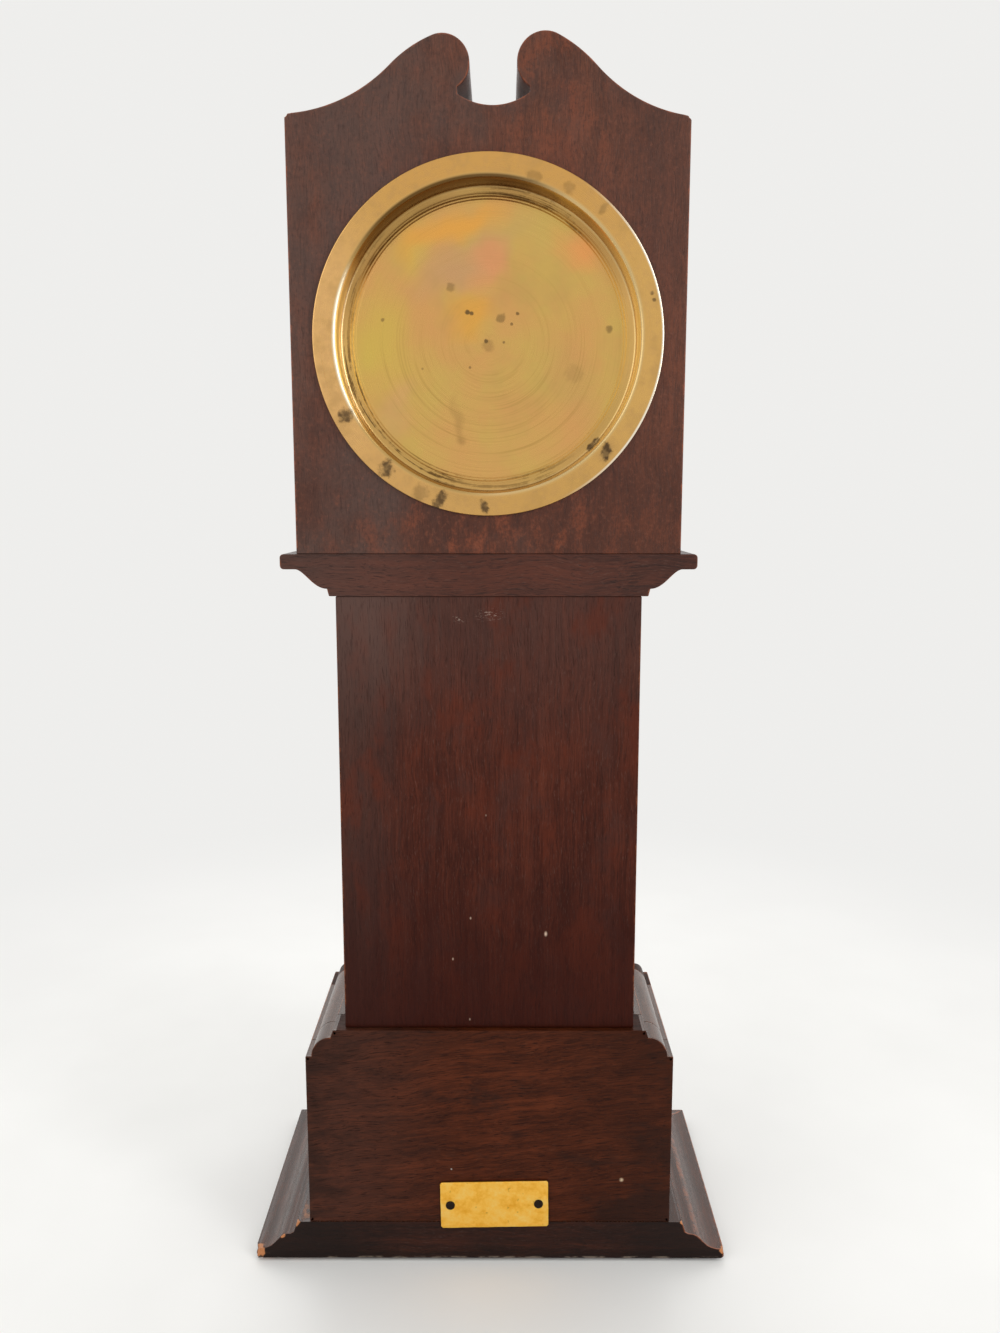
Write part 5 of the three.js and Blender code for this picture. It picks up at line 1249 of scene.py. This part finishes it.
box = box_mm("hinge_pin")
z0, z1 = box.low[2], box.high[2]
line = [(0.0, z0), (0.45, z0), (0.7, z0 + 0.3), (0.7, z1 - 0.3), (0.45, z1), (0.0, z1)]
piece("hinge_pin_drawn", lathe(line, hinge, 32), steel_look, "hinge_pin")

BEZEL_IN, LIP_IN, SHOULDER = 47.2, 43.5, 2.6
# Levels in front of the hood
BEZEL_BACK, GLASS_FACE, LIP_BACK, BEZEL_FACE = 1.6, 7.35, 7.4, 8.6
bezel_back, bezel_face, lip_back = (hood_front - out for out in (BEZEL_BACK, BEZEL_FACE, LIP_BACK))
line = [(BEZEL_IN, bezel_back, 0), (SEAT - 0.2, bezel_back, 0), (SEAT, bezel_back - 0.2, 0),
        (SEAT, bezel_back - 1.0, 0), (SEAT - 0.35, bezel_back - 1.25, 0.1), (SEAT, bezel_back - 1.5, 0.1)]
line += [(r, y, 0) for r, y in arc((SEAT - SHOULDER, bezel_face + SHOULDER), SHOULDER, 0, -90, 10)]
line += [(48.5, bezel_face, 0.1), (48.2, bezel_face + 0.3, 0.1), (47.6, bezel_face + 0.3, 0.1),
         (47.3, bezel_face, 0.1), (45.4, bezel_face, 0.5), (LIP_IN, bezel_face + 0.75, 0.2),
         (LIP_IN, lip_back, 0.1), (BEZEL_IN - 0.2, lip_back, 0.1), (BEZEL_IN, lip_back + 0.3, 0)]
shells = [lathe(rounded_line(line, 3), dial_axis, 192, closed=True)]
for z0 in (dial_z + SEAT_KNUCKLE + GAP, dial_z - SEAT_KNUCKLE - GAP - BEZEL_KNUCKLE):
    shells += hinge_leaf(bezel_back - SEAT_THICK, z0, z0 + BEZEL_KNUCKLE)
piece("bezel_turned", merged(*shells), brass_look, "bezel", "bezel")

GLASS_RIM, DOME_EDGE, CROWN, GLASS_THICK, DOME_STEPS = 46.9, 42.9, 4.4, 1.5, 24
glass_face = hood_front - GLASS_FACE
glass_back = glass_face + GLASS_THICK
dome_radius = (DOME_EDGE ** 2 + CROWN ** 2) / (2 * CROWN)
radii = [DOME_EDGE * k / DOME_STEPS for k in range(DOME_STEPS + 1)]
dome = [(r, math.sqrt(dome_radius ** 2 - r * r) - (dome_radius - CROWN)) for r in radii]
line = [(r, glass_face - rise) for r, rise in dome]
line += [(GLASS_RIM - 0.2, glass_face), (GLASS_RIM, glass_face + 0.2), (GLASS_RIM, glass_back - 0.2),
         (GLASS_RIM - 0.2, glass_back)]
line += [(r, glass_back - rise) for r, rise in reversed(dome)]
piece("glass_domed", lathe(line, dial_axis, 128), clear_glass(), "glass", "bezel")

# Dial, numerals and hands

CENTRE_HOLE, WINDING_HOLE, DIAL_THICK, INK, SUNK = 3.25, 1.83, 1.0, 0.03, 0.01
dial = box_mm("dial")
dial_face = dial.low[1]
winding_z = box_mm("barrel_arbor").mid[2]
holes = [circle(0.0, dial_z, CENTRE_HOLE, 48, True), circle(0.0, winding_z, WINDING_HOLE, 40, True)]
rim = circle(0.0, dial_z, dial.half[0], 180)
shape, _ = slab(rim, dial_face, dial_face + DIAL_THICK, 0.15, 0.4, holes=holes)
piece("dial_enamelled", shape, enamel(), "dial")

# Letters of the hours: width, and for each stroke its top, foot and half width
STROKES = {"I": (2.5, [(0.0, 0.0, 0.55)]), "V": (5.6, [(-1.7, -0.1, 0.55), (1.7, 0.1, 0.22)]),
           "X": (5.6, [(-1.75, 1.75, 0.55), (1.75, -1.75, 0.22)])}
NUMERALS = ("XII", "I", "II", "III", "IIII", "V", "VI", "VII", "VIII", "IX", "X", "XI")
INNER_RING, NUMERAL_FOOT, NUMERAL_TOP, SERIF, TRACK_IN, TRACK_OUT = 27.2, 28.0, 36.6, 0.18, 38.4, 40.8
# Hands: length, radius of the hub and the bore, and degrees from twelve
HANDS = {"hour_hand": (26.0, 4.57, 2.9, 304.5), "minute_hand": (38.0, 3.26, 1.6, 54.0)}


def stroke(foot, top, half, low, high, turn, ink):
    """A printed bar between two distances from the dial's middle, turned to its hour."""
    corners = [(foot - half, low), (foot + half, low), (top + half, high), (top - half, high)]
    loop = [swung(u, v, turn) for u, v in corners]
    return drawn_out([(x, dial_z + z) for x, z in loop], dial_face + SUNK, dial_face - ink)


def printed_numeral(text, turn):
    """The letters of an hour between thin serif lines."""
    width = sum(STROKES[letter][0] for letter in text)
    start, shells = -width / 2, []
    for letter in text:
        advance, strokes = STROKES[letter]
        middle = start + advance / 2
        shells += [stroke(middle + foot, middle + top, half, NUMERAL_FOOT, NUMERAL_TOP, turn,
                          INK if half > 0.3 else INK * 0.85) for top, foot, half in strokes]
        start += advance
    return shells + [stroke(0.0, 0.0, width / 2 - 0.1, v, v + SERIF, turn, INK * 0.7)
                     for v in (NUMERAL_FOOT, NUMERAL_TOP - SERIF)]


def printed_ring(radius, half):
    """A thin printed line round the dial."""
    line = [(radius + out * half, dial_face + level) for out, level in
            ((-1, SUNK), (1, SUNK), (1, -INK * 0.8), (-1, -INK * 0.8))]
    return lathe(line, dial_axis, 180, closed=True)


shells = [printed_ring(TRACK_IN, 0.12), printed_ring(TRACK_OUT, 0.12), printed_ring(INNER_RING, 0.1)]
for minute in range(60):
    shells.append(stroke(0.0, 0.0, 0.11 if minute % 5 else 0.42, TRACK_IN, TRACK_OUT, 6 * minute, INK))
for hour, text in enumerate(NUMERALS):
    shells += printed_numeral(text, 30 * hour)
piece("dial_printing", merged(*shells), dial_ink())
line = [(WINDING_HOLE + out, dial_face + level) for out, level in
        ((-0.02, 0.3), (-0.02, -0.1), (0.1, -0.22), (0.55, -0.22), (0.75, -0.05), (0.75, 0.02))]
piece("winding_hole_ring", lathe(line, about_y(0.0, winding_z), 56, closed=True), brass_look)


def hand(node, length, hub, bore, turn):
    """A spade hand pointing to its time, in degrees from twelve."""
    box = box_mm(node)
    foot, widest = length - 11.0, length - 7.0
    right = arc((0.0, 0.0), hub, -90, math.degrees(math.acos(0.85 / hub)), 22)
    right += [(0.78, hub + 2.0), (0.62, foot - 1.6), (0.6, foot - 0.9), (1.15, foot - 0.55),
              (1.15, foot - 0.2), (0.62, foot + 0.15)]
    right += bezier((0.62, foot + 0.3), (2.0, foot + 1.0), (2.6, widest - 1.5), (2.55, widest), 8)
    right += bezier((2.55, widest), (2.4, widest + 2.2), (0.75, length - 3.6), (0.14, length), 10)[1:]
    outline = right + [(-x, z) for x, z in reversed(right[1:])]
    holes = [circle(0.0, 0.0, bore, 40, True)]
    (verts, faces), _ = slab(outline, box.low[1], box.high[1], 0.1, 0.13, holes=holes)
    made = []
    for x, y, z in verts:
        u, w = swung(x, z, turn)
        made.append((u, y, dial_z + w))
    piece(node + "_spade", (made, faces), blue_look, node, node)


for node, sizes in HANDS.items():
    hand(node, *sizes)
box = box_mm("hand_nut")
nut, nut_front, nut_back = box.half[0], box.low[1], box.high[1]
line = [(1.18, nut_back), (nut - 0.1, nut_back), (nut, nut_back - 0.15), (nut, nut_front + 0.5),
        (nut - 0.45, nut_front + 0.05), (nut - 0.6, nut_front), (1.3, nut_front), (1.18, nut_front + 0.1)]
piece("hand_nut_domed", lathe(line, dial_axis, 56, closed=True), brass_look, "hand_nut", "minute_hand")


# Movement: shapes from the frame, crossed out and eased

def cad_shape(node):
    """A node's mesh as welded points, in millimetres, and faces."""
    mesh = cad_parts[node].data
    index, where = {}, []
    for v in mesh.vertices:
        where.append(index.setdefault(tuple(round(c / MM, 4) for c in v.co), len(index)))
    faces = [tuple(where[i] for i in polygon.vertices) for polygon in mesh.polygons]
    return list(index), [face for face in faces if len(set(face)) == len(face)]


# Angles in degrees: flatter edges than the first go, and sharper ones than the second are eased
FLAT_EDGE, SHARP_EDGE = 0.5, 40.0


def eased(shape, width):
    """The shape with its sharp edges rounded off."""
    work = bmesh.new()
    made = [work.verts.new(v) for v in shape[0]]
    for face in shape[1]:
        work.faces.new([made[i] for i in face])
    bmesh.ops.recalc_face_normals(work, faces=work.faces)
    bmesh.ops.dissolve_limit(work, angle_limit=math.radians(FLAT_EDGE), verts=work.verts, edges=work.edges)
    sharp = math.radians(SHARP_EDGE)
    edges = [e for e in work.edges if len(e.link_faces) == 2 and e.calc_face_angle(0.0) > sharp]
    bmesh.ops.bevel(work, geom=edges, offset=width, offset_type="OFFSET", segments=2, profile=0.5,
                    affect="EDGES", clamp_overlap=True)
    work.verts.index_update()
    verts = [tuple(v.co) for v in work.verts]
    faces = [tuple(v.index for v in face.verts) for face in work.faces]
    work.free()
    return verts, faces


def within(x, z, reach):
    """A test for faces near an axis along Y."""
    return lambda normal, centre: math.hypot(centre.x - x, centre.z - z) < reach


def crossings(centre, hub, rim, arms, width, y0, y1):
    """Windows between a wheel's arms."""
    shells = []
    for k in range(arms):
        middle = 360 / arms * (k + 0.5) + 12
        out, near = (180 / arms - math.degrees(math.asin(width / 2 / radius)) for radius in (rim, hub))
        loop = arc(centre, rim, middle - out, middle + out, 14)
        loop += arc(centre, hub, middle + near, middle - near, 6)
        shells.append(drawn_out(loop, y0, y1))
    return merged(*shells)


def crossed_wheel(node, body, hub, rim, width, steel_reach):
    """A brass wheel with four arms on a steel pinion and arbor."""
    x, _, z = box_mm(node).mid
    shape = cad_shape(node)
    reach = [math.hypot(v[0] - x, v[2] - z) for v in shape[0]]
    web = [v[1] for v, r in zip(shape[0], reach) if r > 0.9 * max(reach)]
    front, back = min(web), max(web)
    windows = crossings((x, z), hub, rim, 4, width, front - 0.3, back + 0.3)
    by_axis = within(x, z, steel_reach)

    def of_steel(normal, centre):
        return by_axis(normal, centre) and not front - 0.01 < centre.y < back + 0.01

    piece(node + "_crossed", eased(carved(shape, windows), 0.05), wheel_look, node, body, sharp=30.0,
          other=(plain_steel, of_steel))


# Crossed wheels: body, hub, rim inside, arm width, reach of the steel pinion and arbor
WHEELS = {
    "centre_wheel": ("centre_wheel", 3.7, 15.2, 1.7, 3.6),
    "third_wheel": ("third_wheel", 2.9, 12.8, 1.5, 2.7),
    "fourth_wheel": ("fourth_wheel", 2.7, 12.3, 1.4, 2.45),
    "escape_wheel": ("escape_wheel", 1.8, 3.7, 0.9, 2.25),
    "minute_wheel": ("minute_wheel", 3.4, 7.0, 1.3, 2.9),
    "hour_wheel": ("hour_hand", 4.3, 7.6, 1.4, 0.0),
}
for node, sizes in WHEELS.items():
    crossed_wheel(node, *sizes)

# Parts kept in the frame's shape with eased edges: body, look, easing
EASED = {
    "barrel": ("barrel", wheel_look, 0.06),
    "barrel_arbor": ("winding_arbor", plain_steel, 0.1),
    "ratchet_wheel": ("winding_arbor", steel_look, 0.08),
    "click": ("click", plain_steel, 0.14),
    "pallet_lever": ("pallet_lever", plain_steel, 0.06),
    "balance_cock": ("case", works_look, 0.3),
    "cannon_pinion": ("minute_hand", plain_steel, 0.05),
}
for node, (body, look, width) in EASED.items():
    piece(node + "_finished", eased(cad_shape(node), width), look, node, body, sharp=30.0)


# Plates: their rims and holes are turned finer than the frame's

def round_holes(node, level):
    """Centre and radius of each round edge in a plate's face at a level, the largest first."""
    verts, faces = cad_shape(node)
    on_face = [abs(v[1] - level) < 1e-3 for v in verts]
    uses = {}
    for face in faces:
        flat = all(on_face[i] for i in face)
        for a, b in zip(face, face[1:] + face[:1]):
            if on_face[a] and on_face[b]:
                uses.setdefault(frozenset((a, b)), []).append(flat)
    beside = {}
    for edge, kinds in uses.items():
        if sum(kinds) == 1:
            a, b = edge
            beside.setdefault(a, []).append(b)
            beside.setdefault(b, []).append(a)
    holes, seen = [], set()
    for start in sorted(beside):
        loop, stack = [], [start]
        while stack:
            at = stack.pop()
            if at not in seen:
                seen.add(at)
                loop.append(verts[at])
                stack += beside[at]
        if loop:
            (x0, x1), (z0, z1) = ((min(v[k] for v in loop), max(v[k] for v in loop)) for k in (0, 2))
            holes.append((((x0 + x1) / 2, (z0 + z1) / 2), (x1 - x0) / 2))
    return sorted(holes, key=lambda hole: -hole[1])


PLATE_THICK = 2.0
plates = {node: box_mm(node) for node in ("front_plate", "back_plate")}
hole_levels = {"front_plate": plates["front_plate"].high[1], "back_plate": plates["back_plate"].low[1]}
for node, box in plates.items():
    (_, rim), *found = round_holes(node, hole_levels[node])
    holes = [circle(*centre, radius, 32, True) for centre, radius in found]
    tip, back = box.low[1], box.high[1]
    front = back - PLATE_THICK
    disc, _ = slab(circle(0.0, dial_z, rim, 200), front, back, 0.14, 0.22, holes=holes)
    shells = [disc]
    if tip < front - 1:
        stud = [(0.0, tip), (0.7, tip), (0.9, tip + 0.25), (0.9, front - 0.35), (1.5, front - 0.2),
                (1.5, front + 0.1), (0.0, front + 0.1)]
        shells.append(lathe(stud, axis_of("minute_wheel"), 32))
    piece(node + "_grained", merged(*shells), works_look, node)

PILLAR, PILLAR_BORE, BORE_DEPTH, NECK_STEPS = 2.5, 1.06, 5.0, 12
for label in ("one", "two", "three", "four"):
    node = "pillar_" + label
    box = box_mm(node)
    y0, y1 = box.low[1], box.high[1]
    half = (y1 - y0) / 2
    line = [(0.0, y0), (PILLAR - 0.2, y0), (PILLAR, y0 + 0.2), (PILLAR, y0 + 2.0), (PILLAR - 0.3, y0 + 2.25)]
    line += [(1.8 + 0.35 * math.cos(2 * math.pi * k / NECK_STEPS), y0 + 2.5 + (half - 3.3) * k / NECK_STEPS)
             for k in range(NECK_STEPS + 1)]
    line += [(2.4, y0 + half - 0.55), (2.45, y0 + half)]
    line += [(r, y0 + y1 - y) for r, y in reversed(line[1:-1])]
    line += [(PILLAR_BORE, y1), (PILLAR_BORE, y1 - BORE_DEPTH), (0.0, y1 - BORE_DEPTH)]
    piece(node + "_turned", lathe(line, axis_of(node), 44), wheel_look, node)

SCREW_HEAD, SHANK = 1.4, 0.88
# Screws and the turn of each slot in radians
SCREWS = {"pillar_screw_one": 0.4, "pillar_screw_two": 1.9, "pillar_screw_three": 2.7,
          "pillar_screw_four": 1.1, "click_screw": 0.9, "cock_screw": 2.2}
for node, turn in SCREWS.items():
    box = box_mm(node)
    head, tip, top = box.half[0], box.low[1], box.high[1]
    under = top - SCREW_HEAD
    line = [(0.0, tip), (SHANK - 0.25, tip), (SHANK, tip + 0.3), (SHANK, under), (head - 0.12, under),
            (head, under + 0.12), (head, top - 0.4), (head - 0.1, top - 0.2), (head - 0.35, top - 0.06),
            (head * 0.5, top), (0.0, top)]
    slotted_screw(node, line, 0.26, top - 0.62, top + 0.5, turn)

COVER_BORE = 2.06
box = box_mm("barrel_cover")
y0, y1 = box.low[1], box.high[1]
line = [(COVER_BORE, y0), (14.8, y0), (15.0, y0 + 0.2), (15.0, y1 - 0.25), (14.75, y1)]
for outer in (13.2, 4.3):
    line += [(outer, y1), (outer - 0.2, y1 - 0.15), (outer - 0.5, y1 - 0.15), (outer - 0.7, y1)]
shape = lathe(line + [(COVER_BORE, y1)], axis_of("barrel_cover"), 120, closed=True)
piece("barrel_cover_turned", shape, wheel_look, "barrel_cover", "barrel")

# Mainspring: the frame's mesh with its edges eased

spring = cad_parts["mainspring"]
spring.data.materials.clear()
spring.data.materials.append(blue_look[0])
weld = spring.modifiers.new("weld", "WELD")
weld.merge_threshold = TINY
ease = spring.modifiers.new("ease", "BEVEL")
ease.width, ease.segments, ease.limit_method = 0.06 * MM, 2, "ANGLE"

# Balance with timing screws, hairspring and its stud

balance = box_mm("balance_wheel")
balance_x, _, balance_z = balance.mid
RIM_LEVEL, TIMING_SCREWS, STAFF = 14.575, 10, 1.95


def outward(bearing):
    """Turns about a line that runs out from the balance's middle."""
    def place(radius, angle, level):
        around = radius * math.cos(angle)
        return (balance_x + level * math.cos(bearing) - around * math.sin(bearing),
                RIM_LEVEL + radius * math.sin(angle),
                balance_z + level * math.sin(bearing) + around * math.cos(bearing))
    return place


line = [(radius, balance.half[0] + out) for radius, out in
        ((0.0, -0.4), (0.26, -0.4), (0.26, 0.05), (0.42, 0.05), (0.48, 0.12), (0.48, 0.42), (0.36, 0.52),
         (0.0, 0.52))]
shells = [eased(cad_shape("balance_wheel"), 0.08)]
shells += [lathe(line, outward(2 * math.pi * (k + 0.5) / TIMING_SCREWS), 18) for k in range(TIMING_SCREWS)]
piece("balance_wheel_screwed", merged(*shells), wheel_look, "balance_wheel", "balance", sharp=30.0,
      other=(plain_steel, within(balance_x, balance_z, STAFF)))

SPRING_IN, SPRING_OUT, SPRING_TURNS, SPRING_STEPS, STRIP, STUD_BEARING = 1.78, 6.27, 4.0, 260, 0.09, 260.0
box = box_mm("hairspring")
y0, y1 = box.low[1], box.high[1]


def on_spiral(a, side=0.0):
    """x and z at an angle along the hairspring, in radians from its inner end."""
    r = SPRING_IN + (SPRING_OUT - SPRING_IN) * a / (2 * math.pi * SPRING_TURNS) + side
    return balance_x + r * math.cos(a), balance_z + r * math.sin(a)


def strip_section(a):
    """The hairspring's section at an angle."""
    corners = ((-STRIP, y0), (STRIP, y0), (STRIP, y1), (-STRIP, y1))
    return [(x, y, z) for (x, z), y in ((on_spiral(a, side), y) for side, y in corners)]


stud_angle = 2 * math.pi * (SPRING_TURNS - 1) + math.radians(STUD_BEARING)
sweep = stud_angle + math.radians(7.0)
coil = lofted([strip_section(sweep * k / SPRING_STEPS) for k in range(SPRING_STEPS + 1)])
under = y1 + 1.02
line = [(0.0, y0 + 0.1), (0.3, y0 + 0.1), (0.42, y0 + 0.22), (0.42, under), (0.0, under)]
stud = lathe(line, about_y(*on_spiral(stud_angle)), 20)
piece("hairspring_coil", merged(coil, stud), blue_look, "hairspring")


# Studio: floor, light and camera

BACKDROP = (0.86, 0.855, 0.84)
FLOOR_SIDE, FLOOR_FAR, FLOOR_NEAR = 4.0, -4.0, 0.52
CAMERA_PLACE, CAMERA_DIP, CAMERA_HEADING = (-0.0043, 0.386, 0.263), 8.715, 180.11
LENS, SENSOR, CLIP_START, CLIP_END = 29.22, 36.0, 0.01, 50.0
# Lamps: place, target, size and power
LAMPS = {
    "window_light": ((-0.95, 0.75, 0.62), (0, 0, 0.2), (0.34, 0.9), 4.4),
    "soft_fill": ((1.0, 0.9, 0.75), (0, 0, 0.22), (0.9, 0.9), 2.6),
    "back_light": ((0.1, -0.9, 1.1), (0, 0, 0.15), (0.9, 0.9), 3.4),
}


def pale_floor():
    """A pale floor that keeps its shadow near the clock and fades into the backdrop behind it."""
    s = Shader("pale_floor")
    tone = s.noise(0.012, detail=3.0, rough=0.5)
    s.colour = s.ramp(tone, (0.3, (0.84, 0.835, 0.82)), (0.7, (0.88, 0.875, 0.86)))
    fade = s.times(s.span(s.length(s.xyz), 180.0, 510.0), s.seen())
    glow = s.node("Emission", {"Color": BACKDROP, "Strength": 1.0})
    s.put(s.out.inputs[0], s.node("MixShader", {0: fade, 1: s.bsdf.outputs[0], 2: glow}))
    return s.look(None, Roughness=0.6)[0]


def studio_world():
    """Light that dims below the horizon, seen as the plain backdrop."""
    world = bpy.data.worlds.new("studio")
    bpy.context.scene.world = world
    world.use_nodes = True
    n = Nodes(world.node_tree)
    up = n.axes(n.node("TexCoord", {}, "Generated"))[2]
    height = n.node("MapRange", {0: up, 1: -0.5, 2: 0.5})
    greys = ((0.12, 0.12), (0.44, 0.80), (0.75, 0.90))
    light = n.ramp(height, *((at, (grey, grey, grey * 0.985)) for at, grey in greys))
    background = n.node("Background", {0: n.mix(n.seen(), light, BACKDROP)})
    n.links.new(background, n.nodes.new("ShaderNodeOutputWorld").inputs[0])


def studio():
    """The floor, the world, three soft lamps and the camera."""
    corners = [(-FLOOR_SIDE, FLOOR_FAR, 0), (FLOOR_SIDE, FLOOR_FAR, 0), (FLOOR_SIDE, FLOOR_NEAR, 0),
               (-FLOOR_SIDE, FLOOR_NEAR, 0)]
    ground_mesh = bpy.data.meshes.new("floor")
    ground_mesh.from_pydata(corners, [], [(0, 1, 2, 3)])
    ground_mesh.materials.append(pale_floor())
    ground = placed("floor", ground_mesh)
    ground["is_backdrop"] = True
    studio_world()
    for name, (place, target, size, power) in LAMPS.items():
        data = bpy.data.lights.new(name, "AREA")
        data.shape, data.energy = "RECTANGLE", power
        data.size, data.size_y = size
        lamp = placed(name, data)
        lamp.location = place
        lamp.rotation_euler = (Vector(target) - Vector(place)).to_track_quat("-Z", "Y").to_euler()
    camera = placed("camera", bpy.data.cameras.new("camera"))
    camera.data.lens, camera.data.sensor_width = LENS, SENSOR
    camera.data.clip_start, camera.data.clip_end = CLIP_START, CLIP_END
    camera.location = CAMERA_PLACE
    camera.rotation_euler = (math.radians(90 - CAMERA_DIP), 0.0, math.radians(CAMERA_HEADING))
    bpy.context.scene.camera = camera
    bpy.context.scene.view_settings.view_transform = "Standard"


studio()

low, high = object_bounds()
{"cad": [list(cad_low), list(cad_high)], "visual": [list(low), list(high)]}
